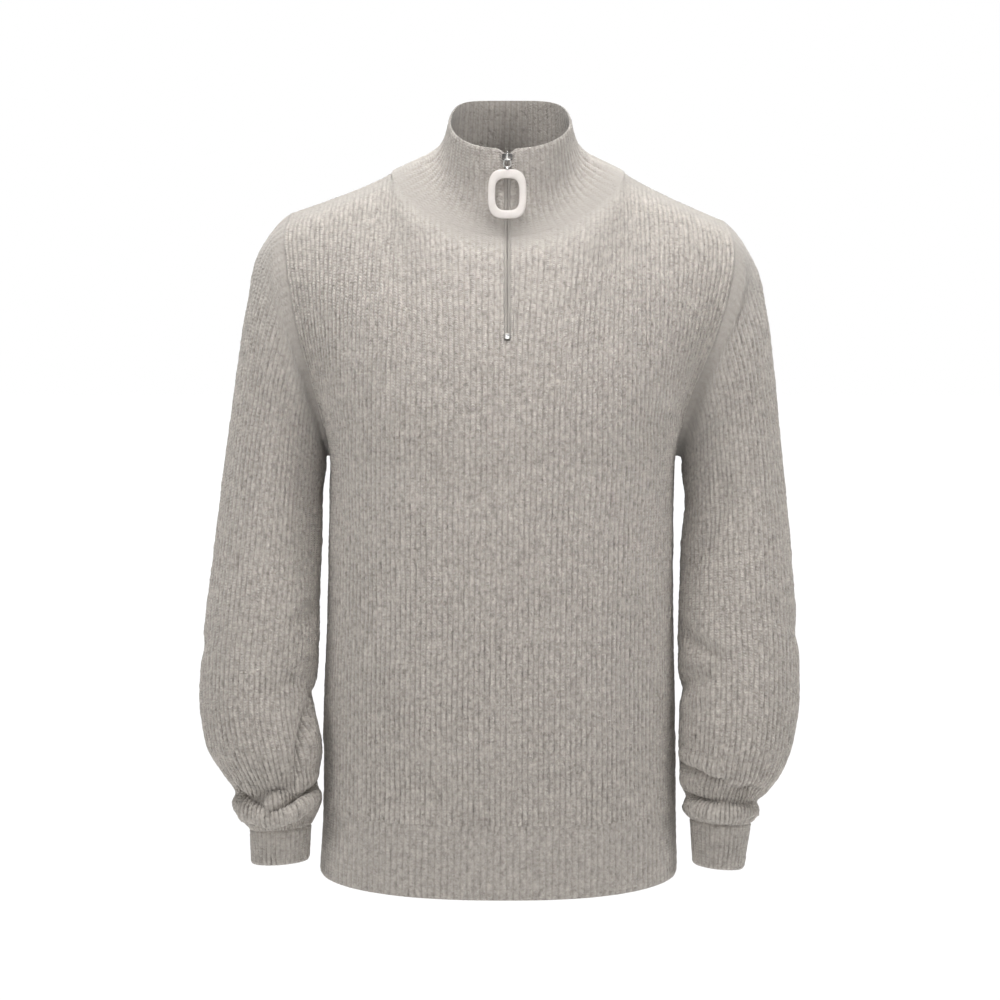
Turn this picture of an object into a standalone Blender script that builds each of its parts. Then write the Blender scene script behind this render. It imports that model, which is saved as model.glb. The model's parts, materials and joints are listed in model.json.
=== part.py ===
"""Quarter-zip rib-knit sweater, filled out as when it is worn, with nothing inside it.

Metres, +Z up. The front faces -Y. The origin is midway between the shoulders, where the wearer's
shoulders carry the sweater. Right and left are the wearer's, so the right sleeve is at -X.

Each piece that is knitted or sewn separately is one object. A piece of cloth is a wall: its middle surface is a
grid of points, its inside is plain, and its outside carries the raised ribs, one column of points on each rib
and one between two ribs.
"""

import math

import bmesh
import bpy
import numpy as np
from mathutils import Vector

MM = 0.001

# The cloth
WALL = 1.8 * MM  # the knit without its raised ribs
RIB_RISE = 0.9 * MM  # how far a rib stands up from the knit
SKIN = WALL / 2 + RIB_RISE  # from the middle of the wall to the top of a rib
SEAM_GAP = 0.3 * MM  # between two pieces at a seam

# How many ribs each piece has; the three for the body and sleeves are even
PANEL_RIBS = 72  # across the front, and across the back
NECK_RIBS = 36  # of those, the ones that end at the neck seam
SLEEVE_RIBS = 48
CUFF_RIBS = 24
BAND_RIBS = 100  # all round the hem

# The body's heights
HEM_Z = -667 * MM
HEM_DIP = 9 * MM  # how much lower the hem hangs in the middle of the front
BAND_TOP_Z = -603 * MM
ZIP_END_Z = -134 * MM
LOWER_ROWS_Z = [-603, -485, -365, -250]  # rows of points up to the chest, in millimetres
UPPER_ROWS = 6  # rows from the chest to the top edge
BODY_ROUNDNESS = 2.4  # 2 is an ellipse, more is boxier
CHEST_SWELL = 0.22  # how strongly the front swells forward above the chest row

# The body's outside, level by level: how far it reaches from the middle, in millimetres
BODY = [
    {"z": -670, "right": 188, "left": 171, "front": 120, "back": 116},
    {"z": -600, "right": 184, "left": 169, "front": 121, "back": 113},
    {"z": -500, "right": 183, "left": 168, "front": 121, "back": 107},
    {"z": -400, "right": 179, "left": 166, "front": 123, "back": 104},
    {"z": -300, "right": 177, "left": 166, "front": 129, "back": 110},
    {"z": -235, "right": 176, "left": 168, "front": 133, "back": 115},
]

# Each armhole seam, up from the underarm, in millimetres: its place in the front view, and how far it bulges
ARMHOLES = {
    "right": [
        {"z": -250, "x": -176.8, "front": 0, "back": 0},
        {"z": -225, "x": -180.8, "front": -34, "back": 30},
        {"z": -190, "x": -189, "front": -52, "back": 47},
        {"z": -157, "x": -198, "front": -60, "back": 54},
        {"z": -127, "x": -206, "front": -62, "back": 56},
        {"z": -90, "x": -213, "front": -58, "back": 51},
        {"z": -60, "x": -218, "front": -48, "back": 40},
        {"z": -33, "x": -221, "front": -31, "back": 24},
        {"z": -11, "x": -217, "front": -4, "back": -4},
    ],
    "left": [
        {"z": -250, "x": 168, "front": 0, "back": 0},
        {"z": -225, "x": 172, "front": -34, "back": 30},
        {"z": -190, "x": 181, "front": -52, "back": 47},
        {"z": -157, "x": 195, "front": -60, "back": 54},
        {"z": -127, "x": 207, "front": -62, "back": 56},
        {"z": -90, "x": 218, "front": -58, "back": 51},
        {"z": -62, "x": 224, "front": -48, "back": 40},
        {"z": -38, "x": 224, "front": -31, "back": 24},
        {"z": -19, "x": 218, "front": -4, "back": -4},
    ],
}

# The neck seam and the collar's top edge: loops with a half width, and a height at each quarter, in
# millimetres. Round is 1 for an ellipse and less for a squarer loop. Rise is 1 for a back that climbs evenly
# and more for one that climbs at the sides.
NECK_SEAM = {"x": 1, "half": 117, "front": -80, "back": 70, "round": 1.0, "back_round": 1.0}
NECK_SEAM.update({"z_front": -35, "z_side": 29, "z_back": 22, "rise": 1.0})
COLLAR_TOP = {"x": 3, "half": 61, "front": -64, "back": 58, "round": 0.84, "back_round": 0.6}
COLLAR_TOP.update({"z_front": 51.5, "z_side": 80.5, "z_back": 105, "rise": 1.4})
SHOULDER_SAG = 2.6 * MM  # how far the shoulder seam hangs under a straight line
COLLAR_ROWS = [0.0, 0.3, 0.62, 1.0]

# Each sleeve's outside, section by section from the armhole down, in millimetres: its outer and inner point in
# the front view, and how far it reaches to the front and the back
SLEEVES = {
    "right": [
        {"out_x": -243, "out_z": -43, "in_x": -181, "in_z": -255, "front": -67, "back": 60},
        {"out_x": -256, "out_z": -95, "in_x": -182, "in_z": -262, "front": -68, "back": 60},
        {"out_x": -267, "out_z": -165, "in_x": -183, "in_z": -277, "front": -66, "back": 55},
        {"out_x": -280, "out_z": -259, "in_x": -184, "in_z": -304, "front": -66, "back": 44},
        {"out_x": -289, "out_z": -330, "in_x": -185, "in_z": -352, "front": -71, "back": 35},
        {"out_x": -297, "out_z": -392, "in_x": -186, "in_z": -402, "front": -79, "back": 25},
        {"out_x": -303, "out_z": -450, "in_x": -188, "in_z": -450, "front": -86, "back": 17},
        {"out_x": -302, "out_z": -505, "in_x": -190, "in_z": -502, "front": -93, "back": 9},
        {"out_x": -295, "out_z": -540, "in_x": -184, "in_z": -537, "front": -95, "back": 4},
        {"out_x": -278, "out_z": -566, "in_x": -187, "in_z": -561, "front": -88, "back": -4},
        {"out_x": -269, "out_z": -578, "in_x": -189, "in_z": -574, "front": -79, "back": -12},
        {"out_x": -274, "out_z": -594, "in_x": -184, "in_z": -587, "front": -92, "back": -3},
        {"out_x": -264, "out_z": -608, "in_x": -188, "in_z": -601, "front": -84, "back": -9},
        {"out_x": -255, "out_z": -617, "in_x": -194, "in_z": -613, "front": -78, "back": -16},
    ],
    "left": [
        {"out_x": 245, "out_z": -59, "in_x": 175, "in_z": -256, "front": -68, "back": 61},
        {"out_x": 256, "out_z": -103, "in_x": 176, "in_z": -264, "front": -68, "back": 60},
        {"out_x": 264, "out_z": -165, "in_x": 176, "in_z": -277, "front": -66, "back": 55},
        {"out_x": 273, "out_z": -257, "in_x": 177, "in_z": -304, "front": -66, "back": 44},
        {"out_x": 280, "out_z": -325, "in_x": 173, "in_z": -345, "front": -71, "back": 35},
        {"out_x": 285, "out_z": -388, "in_x": 170.5, "in_z": -398, "front": -79, "back": 25},
        {"out_x": 289, "out_z": -446, "in_x": 170.5, "in_z": -448, "front": -86, "back": 17},
        {"out_x": 287, "out_z": -502, "in_x": 171, "in_z": -502, "front": -93, "back": 9},
        {"out_x": 281, "out_z": -538, "in_x": 171, "in_z": -536, "front": -95, "back": 4},
        {"out_x": 272, "out_z": -560, "in_x": 172, "in_z": -559, "front": -91, "back": -1},
        {"out_x": 256, "out_z": -580, "in_x": 174, "in_z": -575, "front": -81, "back": -11},
        {"out_x": 248, "out_z": -590, "in_x": 178, "in_z": -586, "front": -79, "back": -13},
        {"out_x": 251, "out_z": -601, "in_x": 174, "in_z": -597, "front": -88, "back": -6},
        {"out_x": 242, "out_z": -611, "in_x": 181, "in_z": -607, "front": -78, "back": -16},
    ],
}

# Each cuff's outside, from its seam to its edge
CUFFS = {
    "right": [
        {"out_x": -255, "out_z": -617, "in_x": -194, "in_z": -613, "front": -78, "back": -16},
        {"out_x": -254, "out_z": -652, "in_x": -196, "in_z": -648, "front": -75, "back": -20},
    ],
    "left": [
        {"out_x": 242, "out_z": -611, "in_x": 181, "in_z": -607, "front": -78, "back": -16},
        {"out_x": 235, "out_z": -657, "in_x": 184, "in_z": -652, "front": -75, "back": -20},
    ],
}

# The largest folds of each sleeve. The share goes round the sleeve from the underarm, by the front (0.25), the
# outer side (0.5) and the back (0.75). Lengths are in millimetres; a negative depth is a trough.
SLEEVE_FOLDS = {
    "right": [
        {"share": 0.14, "z": -420, "reach": 0.17, "slope": -260, "width": 26, "depth": -5.0},
        {"share": 0.20, "z": -582, "reach": 0.17, "slope": -50, "width": 9, "depth": -5.0},
        {"share": 0.80, "z": -455, "reach": 0.18, "slope": 240, "width": 28, "depth": -5.0},
        {"share": 0.76, "z": -574, "reach": 0.18, "slope": 50, "width": 9, "depth": -4.5},
    ],
    "left": [
        {"share": 0.15, "z": -350, "reach": 0.15, "slope": 300, "width": 26, "depth": -5.0},
        {"share": 0.13, "z": -480, "reach": 0.16, "slope": -240, "width": 26, "depth": -5.0},
        {"share": 0.18, "z": -566, "reach": 0.15, "slope": -50, "width": 9, "depth": -5.0},
        {"share": 0.78, "z": -470, "reach": 0.18, "slope": 240, "width": 28, "depth": -5.0},
        {"share": 0.78, "z": -578, "reach": 0.18, "slope": 50, "width": 9, "depth": -4.5},
    ],
}

# The zip
SLIT = 5.4 * MM  # between the two edges of cloth beside it
TAPE = 1.0 * MM
TAPE_GAP = 0.5 * MM  # between a tape and the knit in front of it
TAPE_COLUMNS = [
    {"x": 0.15, "rise": 1.6},
    {"x": 1.6, "rise": 1.6},
    {"x": 2.2, "rise": 0.0},
]
SLIDER_Z = 43.0 * MM

# The pull's ring and the eye over it, in millimetres from the axis that they swing about
PULL_RING = {"half_width": 18.4, "top": -10.0, "low": -58.5}
PULL_RING.update({"band_side": 6.6, "band_top": 8.0, "band_low": 7.0})
RING_THICK = {"edge": 1.4, "middle": 2.4}
PULL_EYE = {"half_width": 3.7, "top": 0.55, "low": -8.6, "band": 1.1}
PULL_AXIS = {"out": 4.6, "up": -2.6}  # from the slider's middle, out of the zip and up along it
PULL_REST = {"z": -17.0, "out": 5.6}  # where its lowest point hangs, just clear of the collar's ribs


# ---------- curves ----------


def unit(v):
    """The same vectors at length 1."""
    return v / np.maximum(np.linalg.norm(v, axis=-1, keepdims=True), 1e-12)


def smooth_table(rows, place, key, at):
    """A column of a table of rows, read at any place by a smooth curve through the rows."""
    places = np.array([row[place] for row in rows], float)
    values = np.array([row[key] for row in rows], float)
    slopes = np.gradient(values, places)
    at = np.clip(at, places[0], places[-1])
    i = np.clip(np.searchsorted(places, at) - 1, 0, len(places) - 2)
    span = places[i + 1] - places[i]
    t = (at - places[i]) / span
    return hermite(values[i], span * slopes[i], values[i + 1], span * slopes[i + 1], t)


def hermite(start, leave, end, arrive, t):
    """A curve from start to end that leaves and arrives along the given vectors."""
    begin = start * (1 + 2 * t) * (1 - t) ** 2 + leave * t * (1 - t) ** 2
    return begin + end * t**2 * (3 - 2 * t) - arrive * t**2 * (1 - t)


def evenly(curve, shares):
    """Points at these shares of a curve's length."""
    steps = np.linalg.norm(np.diff(curve, axis=0), axis=1)
    along = np.concatenate([[0], np.cumsum(steps)]) / steps.sum()
    return np.stack([np.interp(shares, along, curve[:, k]) for k in range(3)], axis=1)


def body_half(z_mm, side, shares):
    """Half of the body's ring at a height, from the right side seam to the left, along the front or back."""
    angle = np.linspace(0, math.pi, 400)
    power = 2 / BODY_ROUNDNESS
    across, deep = np.cos(angle), np.sin(angle)
    reach = {key: smooth_table(BODY, "z", key, z_mm) * MM - SKIN for key in ("right", "left", side)}
    x = np.where(across > 0, -reach["right"], reach["left"]) * np.abs(across) ** power
    y = reach[side] * np.abs(deep) ** power * (-1 if side == "front" else 1)
    ring = np.stack([x, y, np.full_like(x, z_mm * MM)], axis=1)
    return evenly(ring, shares)


def armhole(wearer, half, shares):
    """Half of an armhole seam, from the underarm to the shoulder, along the front or the back."""
    rows = ARMHOLES[wearer]
    points = [np.array([row["x"], row[half], row["z"]], float) * MM for row in rows]
    inward = np.array([-SKIN * np.sign(rows[0]["x"]), 0, 0])
    curve = []
    for k in range(len(points) - 1):
        before = points[k - 1] if k else points[k] * [1, -1, 1] + [0, points[k + 1][1], 0]
        after = points[k + 2] if k + 2 < len(points) else points[k + 1]
        leave, arrive = (points[k + 1] - before) / 2, (after - points[k]) / 2
        steps = np.linspace(0, 1, 12, endpoint=False)[:, None]
        curve.append(hermite(points[k], leave, points[k + 1], arrive, steps))
    curve.append(points[-1][None])
    return evenly(np.concatenate(curve) + inward, shares)


def loop_point(loop, turn):
    """Points of a neck loop. The turn is 0 at the front and a quarter of a circle at the left side."""
    half = loop["half"] * MM - SKIN
    front, back = loop["front"] * MM + SKIN, loop["back"] * MM - SKIN
    level = (loop["z_front"] + loop["z_back"] + 2 * loop["z_side"]) / 4
    tilt = (loop["z_front"] - loop["z_back"]) / 2
    saddle = (loop["z_front"] + loop["z_back"] - 2 * loop["z_side"]) / 4
    behind = np.clip(-np.cos(turn), 0, 1)
    power = np.where(behind > 0, loop["back_round"], loop["round"])
    across = np.sign(np.sin(turn)) * np.abs(np.sin(turn)) ** power
    x = loop["x"] * MM * across**2 + half * across
    y = (front + back) / 2 + (front - back) / 2 * np.cos(turn)
    z = (level + tilt * np.cos(turn) + saddle * np.cos(2 * turn)) * MM
    if loop["rise"] > 1:
        climb = 1 - (1 - behind) ** loop["rise"]
        z = np.where(behind > 0, (loop["z_side"] + (loop["z_back"] - loop["z_side"]) * climb) * MM, z)
    return np.stack([x, y, z], axis=-1)


def section(row, columns):
    """A loop of cloth through a sleeve's section, from the underarm by the front, outer side and back."""
    out = np.array([row["out_x"], 0, row["out_z"]]) * MM
    inner = np.array([row["in_x"], 0, row["in_z"]]) * MM
    reach = unit(out - inner)
    middle, half = (out + inner) / 2, (out - inner) / 2 - reach * SKIN
    y_middle = (row["front"] + row["back"]) / 2 * MM
    y_half = (row["back"] - row["front"]) / 2 * MM - SKIN
    angle = np.linspace(0, math.pi, 200)[:, None]
    arc = middle + [0, y_middle, 0] - half * np.cos(angle)
    halves = [arc + np.sin(angle) * [0, -y_half, 0], (arc + np.sin(angle) * [0, y_half, 0])[::-1]]
    shares = np.linspace(0, 1, columns // 2 + 1)
    return np.concatenate([evenly(halves[0], shares)[:-1], evenly(halves[1], shares)[:-1]])


# ---------- walls of cloth ----------


def normals_of(grid, closed, middle):
    """Directions out of a grid's surface at each point, away from the line or point of its middle."""
    if closed:
        across = np.roll(grid, -1, axis=1) - np.roll(grid, 1, axis=1)
    else:
        across = np.gradient(grid, axis=1)
    normals = unit(np.cross(np.gradient(grid, axis=0), across))
    outwards = np.sum(normals * (grid - middle))
    return normals * np.sign(outwards)


def share_normals(pieces):
    """Gives pieces that meet at a point one direction there, long enough that both walls keep their thickness."""
    at = {}
    for piece in pieces:
        rows, columns = piece["grid"].shape[:2]
        for r in range(rows):
            for c in range(columns):
                if r in (0, rows - 1) or c in (0, columns - 1):
                    key = tuple(np.round(piece["grid"][r, c] / (0.01 * MM)).astype(int))
                    at.setdefault(key, []).append((piece, r, c))
    for meeting in at.values():
        if len(meeting) > 1:
            facing = np.array([piece["normals"][r, c] for piece, r, c in meeting])
            shared = np.linalg.lstsq(facing, np.ones(len(facing)), rcond=0.02)[0]
            shared *= min(1.0, 1.5 / np.linalg.norm(shared))
            for piece, r, c in meeting:
                piece["normals"][r, c] = shared


def drawn_in(grid, edges):
    """The grid with its outermost points moved half a seam gap inwards at the named edges."""
    grid = grid.copy()
    for edge in edges:
        if edge in ("first_row", "last_row"):
            at, inner = (0, 1) if edge == "first_row" else (-1, -2)
            grid[at] += unit(grid[inner] - grid[at]) * SEAM_GAP / 2
        else:
            at, inner = (0, 1) if edge == "first_column" else (-1, -2)
            grid[:, at] += unit(grid[:, inner] - grid[:, at]) * SEAM_GAP / 2
    return grid


def wall(name, piece, inner_columns, material, edges=(), closed=False, skip=None, rise=None, thick=WALL):
    """A wall of cloth on a piece's grid of middle points, its inside only on the inner columns.

    The named edges are drawn in by half a seam gap. rise is how far each column stands up outside.
    skip(row, column) says which cells are left out, as for the zip's slit. Rims join the wall's two faces, cut
    into triangles by one rule, so that the rims of two pieces at a seam run side by side.
    """
    grid, normals = drawn_in(piece["grid"], edges), piece["normals"]
    order = piece["grid"] @ np.array([0.31, 0.77, 0.55])
    rows, columns = grid.shape[:2]
    if rise is None:
        rise = np.where(np.arange(columns) % 2, RIB_RISE, 0.0)
    outer = grid + normals * (thick / 2 + rise)[None, :, None]
    inner = grid - normals * thick / 2
    mesh = bmesh.new()
    out = [[mesh.verts.new(p) for p in row] for row in outer]
    plain = [{c: mesh.verts.new(inner[r, c]) for c in inner_columns} for r in range(rows)]
    spans = list(zip(inner_columns, inner_columns[1:]))
    if closed:
        spans.append((inner_columns[-1], columns))

    def present(row, column):
        return 0 <= row < rows - 1 and not (skip is not None and skip(row, column))

    for r in range(rows - 1):
        for c in range(columns if closed else columns - 1):
            if present(r, c):
                d = (c + 1) % columns
                mesh.faces.new((out[r][c], out[r][d], out[r + 1][d], out[r + 1][c]))
        for a, b in spans:
            if present(r, a):
                b = b % columns
                mesh.faces.new((plain[r][b], plain[r][a], plain[r + 1][a], plain[r + 1][b]))
    for r in range(rows):
        for a, b in spans:
            if present(r, a) != present(r - 1, a):
                edge = []
                for c in range(a, b + 1):
                    edge.append(out[r][c % columns])
                    if a + 1 < c and rise[c - 1] > rise[c % columns]:
                        mesh.faces.new(edge[-3:])
                        edge.pop(-2)
                b = b % columns
                from_start = order[r, a] < order[r, b]
                far, beside = (b, b - 1) if from_start else (a, a + 1)
                rim(mesh, edge, plain[r][a], plain[r][b], from_start, rise[far] > rise[beside])
    if not closed:
        for r in range(rows - 1):
            here = [False] + [present(r, a) for a, b in spans] + [False]
            for i, c in enumerate(inner_columns):
                if here[i] != here[i + 1]:
                    from_start = order[r, c] < order[r + 1, c]
                    rim(mesh, [out[r][c], out[r + 1][c]], plain[r][c], plain[r + 1][c], from_start, False)
    return finished(name, mesh, material)


def rim(mesh, edge, start, end, from_start, far_peak):
    """The triangles of a rim between points of the outside and two of the inside, all from one inside point.

    If the outside's far end is on a rib, its last stretch is joined to the other inside point instead.
    """
    pivot, other = (start, end) if from_start else (end, start)
    edge = edge if from_start else edge[::-1]
    for a, b in zip(edge[:-2], edge[1:-1]):
        mesh.faces.new((a, b, pivot))
    a, b = edge[-2:]
    mesh.faces.new((a, b, other if far_peak else pivot))
    mesh.faces.new((a if far_peak else b, other, pivot))


def finished(name, mesh, material):
    """The mesh as an object of its own, with its material."""
    bmesh.ops.delete(mesh, geom=[v for v in mesh.verts if not v.link_faces], context="VERTS")
    bmesh.ops.recalc_face_normals(mesh, faces=mesh.faces)
    if mesh.calc_volume(signed=True) < 0:
        bmesh.ops.reverse_faces(mesh, faces=mesh.faces)
    data = bpy.data.meshes.new(name)
    mesh.to_mesh(data)
    mesh.free()
    data.shade_smooth()
    data.set_sharp_from_angle(angle=math.radians(50))
    obj = bpy.data.objects.new(name, data)
    bpy.context.scene.collection.objects.link(obj)
    obj.data.materials.append(material)
    return obj


def every(step, last, extra=()):
    """Column numbers a step apart, the last one included, with extra ones added."""
    return sorted(set(range(0, last + 1, step)) | {last} | set(extra))


# ---------- the front and the back ----------

MIDDLE = PANEL_RIBS  # the middle column of the front, where the zip is
NECK_FIRST, NECK_LAST = PANEL_RIBS - NECK_RIBS, PANEL_RIBS + NECK_RIBS


def top_edge(side):
    """The upper edge of the front or back: shoulder seam, neck seam, shoulder seam, from right to left."""
    tips = {w: armhole(w, "front", [1.0])[0] for w in ("right", "left")}
    points = []
    for column in range(2 * PANEL_RIBS + 1):
        across = (column - MIDDLE) / NECK_RIBS
        bounded = min(1.0, max(-1.0, across))
        turn = 0.6 * math.asin(bounded) + 0.4 * bounded * math.pi / 2
        neck = loop_point(NECK_SEAM, turn if side == "front" else math.pi - turn)
        tip = tips["right" if across < 0 else "left"]
        way = max(0.0, abs(across) - 1) / (PANEL_RIBS / NECK_RIBS - 1)
        sag = np.array([0, 0, SHOULDER_SAG * math.sin(math.pi * way**0.7)])
        points.append(neck + (tip - neck) * way - sag)
    return np.array(points)


def panel_grid(side):
    """The middle points of the front or back, from its lower edge up and from the right side to the left."""
    shares = np.linspace(0, 1, 2 * PANEL_RIBS + 1)
    lower = [body_half(z, side, shares) for z in LOWER_ROWS_Z]
    chest, top = lower[-1], top_edge(side)
    reach = np.linalg.norm(top - chest, axis=1, keepdims=True)
    outer = np.abs(2 * shares - 1)[:, None]
    forward = -1 if side == "front" else 1
    slope = np.radians(38 + 47 * outer**1.5)
    bulge = outer**3 * 0.235 * np.array([0, forward, 0])
    rising = (1 - outer**3) * reach
    leave = rising * [0, CHEST_SWELL * min(forward, 0), 1.05] + bulge
    arrive = rising * np.concatenate([0 * slope, -forward * np.sin(slope), np.cos(slope)], axis=1) - bulge
    edges = {w: armhole(w, side, np.linspace(0, 1, UPPER_ROWS + 1)) for w in ("right", "left")}
    chest[0], chest[-1] = edges["right"][0], edges["left"][0]
    rows = lower[:-1] + [chest]
    for k in range(1, UPPER_ROWS + 1):
        t = k / UPPER_ROWS
        row = hermite(chest, leave, softened(top, 34 * (1 - t)), arrive, t)
        for wearer, distance, end in (("right", shares, 0), ("left", 1 - shares, -1)):
            near = np.clip(1 - distance / 0.24, 0, 1)[:, None]
            row = row + near**2 * (3 - 2 * near) * (edges[wearer][k] - row[end])
        rows.append(row)
    grid = np.array(rows)
    grid[-1] = top
    if side == "front":
        slit_row = zip_row(grid)
        away = np.abs(grid[slit_row, :, 0]) / (110 * MM)
        grid[slit_row, :, 2] += (ZIP_END_Z - grid[slit_row, MIDDLE, 2]) * np.exp(-(away**2))
        grid[slit_row:, MIDDLE - 1, 0] = -SLIT / 2
        grid[slit_row:, MIDDLE, 0] = 0
        grid[slit_row:, MIDDLE + 1, 0] = SLIT / 2
    return grid


def softened(curve, reach):
    """The curve with its corners rounded over this many columns; its ends stay."""
    if reach < 1:
        return curve
    columns = np.arange(len(curve))
    weight = np.exp(-(((columns[:, None] - columns[None, :]) / reach) ** 2))
    straight = curve[0] + (curve[-1] - curve[0]) * (columns / columns[-1])[:, None]
    mirrored = curve - straight
    padded = weight @ mirrored / weight.sum(axis=1, keepdims=True)
    hold = np.clip(np.minimum(columns, columns[::-1]) / (1.5 * reach), 0, 1)[:, None]
    return straight + mirrored + (padded - mirrored) * hold


def zip_row(grid):
    """The row of points nearest the lower end of the zip."""
    return int(np.abs(grid[:, MIDDLE, 2] - ZIP_END_Z).argmin())


# ---------- the other grids ----------


def collar_grid(front, back):
    """The collar's middle points, up from the neck seam, from the zip's left side round to its right side."""
    around = [front[-1, MIDDLE + 1 : NECK_LAST + 1], back[-1, NECK_FIRST:NECK_LAST][::-1]]
    base = np.concatenate(around + [front[-1, NECK_FIRST + 1 : MIDDLE]])
    turn = np.linspace(0, 2 * math.pi, len(base) + 2)[1:-1]
    whole = loop_point(COLLAR_TOP, np.linspace(turn[0], turn[-1], 1440))
    top = evenly(whole, np.linspace(0, 1, len(base)))
    top[0, 0], top[-1, 0] = SLIT / 2, -SLIT / 2
    side = np.abs(np.sin(turn))[:, None]
    away = unit((base - top) * [1, 1, 0])
    reach = np.linalg.norm(top - base, axis=1, keepdims=True)
    up = np.array([0, 0, 1])
    leave = reach * (up * (1 - 0.3 * side) - away * (0.2 + 1.28 * side))
    arrive = reach * (up * (1 + 0.5 * side) - away * (0.1 + 0.1 * side))
    grid = np.array([hermite(base, leave, top, arrive, t) for t in COLLAR_ROWS])
    grid[:, 0, 0], grid[:, -1, 0] = SLIT / 2, -SLIT / 2
    return grid


def sleeve_grid(wearer, front, back):
    """A sleeve's middle points, from the armhole down; the first loop lies on the edges of the front and back."""
    end = 0 if wearer == "right" else -1
    below = len(LOWER_ROWS_Z) - 1
    edge = np.concatenate([front[below:, end], back[below:-1, end][::-1]])
    columns = 2 * SLEEVE_RIBS
    step = columns // (2 * UPPER_ROWS)
    places = np.arange(columns) / step
    first = np.stack([np.interp(places, np.arange(len(edge)), edge[:, k]) for k in range(3)], axis=1)
    sections = [section(row, columns) for row in SLEEVES[wearer]]
    share = np.arange(columns) / columns
    top = (1 - np.cos(2 * math.pi * share))[:, None] / 2
    sideways = np.array([-1.0 if wearer == "right" else 1.0, 0, 0])
    away = unit((1 - top) * sideways + top * unit(sections[0] - first + sideways * 12 * MM))
    second = first + away * (5 + 8 * top) * MM
    grid = np.array([first, second] + sections)
    normals = normals_of(grid, True, grid.mean(axis=1, keepdims=True))
    for fold in SLEEVE_FOLDS[wearer]:
        apart = (share - fold["share"] + 0.5) % 1 - 0.5
        window = np.clip(1 - (apart / fold["reach"]) ** 2, 0, 1) ** 2
        line = (fold["z"] + fold["slope"] * apart) * MM
        across = (grid[:, :, 2] - line) / (fold["width"] * MM)
        depth = fold["depth"] * MM * np.exp(-(across**2)) * window
        depth[:2] = depth[-1] = 0
        grid = grid + normals * depth[:, :, None]
    return grid


def cuff_grid(wearer):
    """A cuff's middle points, from its seam to its edge."""
    return np.array([section(row, 2 * CUFF_RIBS) for row in CUFFS[wearer]])


def band_grid():
    """The hem band's middle points, a closed ring from the hem up."""
    shares = np.linspace(0, 1, BAND_RIBS + 1)
    rows = []
    for z in (HEM_Z / MM, BAND_TOP_Z / MM):
        halves = [body_half(z, "front", shares)[:-1], body_half(z, "back", shares)[::-1][:-1]]
        rows.append(np.concatenate(halves))
    forward = np.clip(rows[0][:, 1] / rows[0][:, 1].min(), 0, 1)
    rows[0][:, 2] -= HEM_DIP * forward**1.7
    return np.array(rows)


# ---------- the zip ----------


def tape(wearer, front, collar, material):
    """One side of the zip: a tape behind the slit's edge, with its row of teeth as one raised strip."""
    sign, first, third = (1, MIDDLE + 1, MIDDLE + 3) if wearer == "left" else (-1, MIDDLE - 1, MIDDLE - 3)
    a, b = (0, 2) if wearer == "left" else (-1, -3)
    slit_row = zip_row(front["grid"])
    parts = [(front, slit_row, None, first, third), (collar, 1, None, a, b)]
    grid, normals = [], []
    for piece, start, stop, edge, next_edge in parts:
        for r in range(start, len(piece["grid"])):
            beside, away = piece["grid"][r, edge], piece["grid"][r, next_edge]
            row = [np.array([sign * c["x"] * MM, beside[1], beside[2]]) for c in TAPE_COLUMNS]
            grid.append(row + [beside, away])
            lean = piece["normals"][r, edge]
            normals.append([lean * [0, 1, 1]] * len(TAPE_COLUMNS) + [lean, piece["normals"][r, next_edge]])
    grid, normals = np.array(grid), np.array(normals)
    grid = grid - normals * (WALL / 2 + TAPE_GAP + TAPE / 2)
    grid[:, : len(TAPE_COLUMNS), 0] = [sign * c["x"] * MM for c in TAPE_COLUMNS]
    grid[0] += unit(grid[1] - grid[0]) * SEAM_GAP
    rise = np.array([c["rise"] * MM for c in TAPE_COLUMNS] + [0, 0])
    piece = {"grid": grid, "normals": normals}
    return wall(f"zip_tape_{wearer}", piece, range(5), material, rise=rise, thick=TAPE)


def frame_on_zip(front, collar, z):
    """A point of the zip's line at a height, with the directions up along the zip and out of it."""
    line = np.concatenate([front["grid"][zip_row(front["grid"]) :, MIDDLE], collar["grid"][1:, 0]])
    i = int(np.clip(np.searchsorted(line[:, 2], z) - 1, 0, len(line) - 2))
    t = (z - line[i, 2]) / (line[i + 1, 2] - line[i, 2])
    up = unit((line[i + 1] - line[i]) * [0, 1, 1])
    point = (line[i] + (line[i + 1] - line[i]) * t) * [0, 1, 1]
    return point, up, np.array([0, -up[2], up[1]])


def blocks(name, place, across, outwards, along, filled, material):
    """One body made of the filled boxes between levels in three directions, as a slider or a stop is."""
    origin, up, out = place
    mesh = bmesh.new()
    corner = {}

    def vert(i, j, k):
        if (i, j, k) not in corner:
            point = origin + np.array([across[i], 0, 0]) * MM + out * outwards[j] * MM + up * along[k] * MM
            corner[i, j, k] = mesh.verts.new(point)
        return corner[i, j, k]

    for box in filled:
        for axis in range(3):
            for step in (0, 1):
                beside = list(box)
                beside[axis] += 1 if step else -1
                if tuple(beside) in filled:
                    continue
                ring = [(0, 0), (1, 0), (1, 1), (0, 1)]
                face = []
                for p, q in ring:
                    at = list(box)
                    at[axis] += step
                    at[(axis + 1) % 3] += p
                    at[(axis + 2) % 3] += q
                    face.append(vert(*at))
                mesh.faces.new(face)
    return finished(name, mesh, material)


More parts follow.
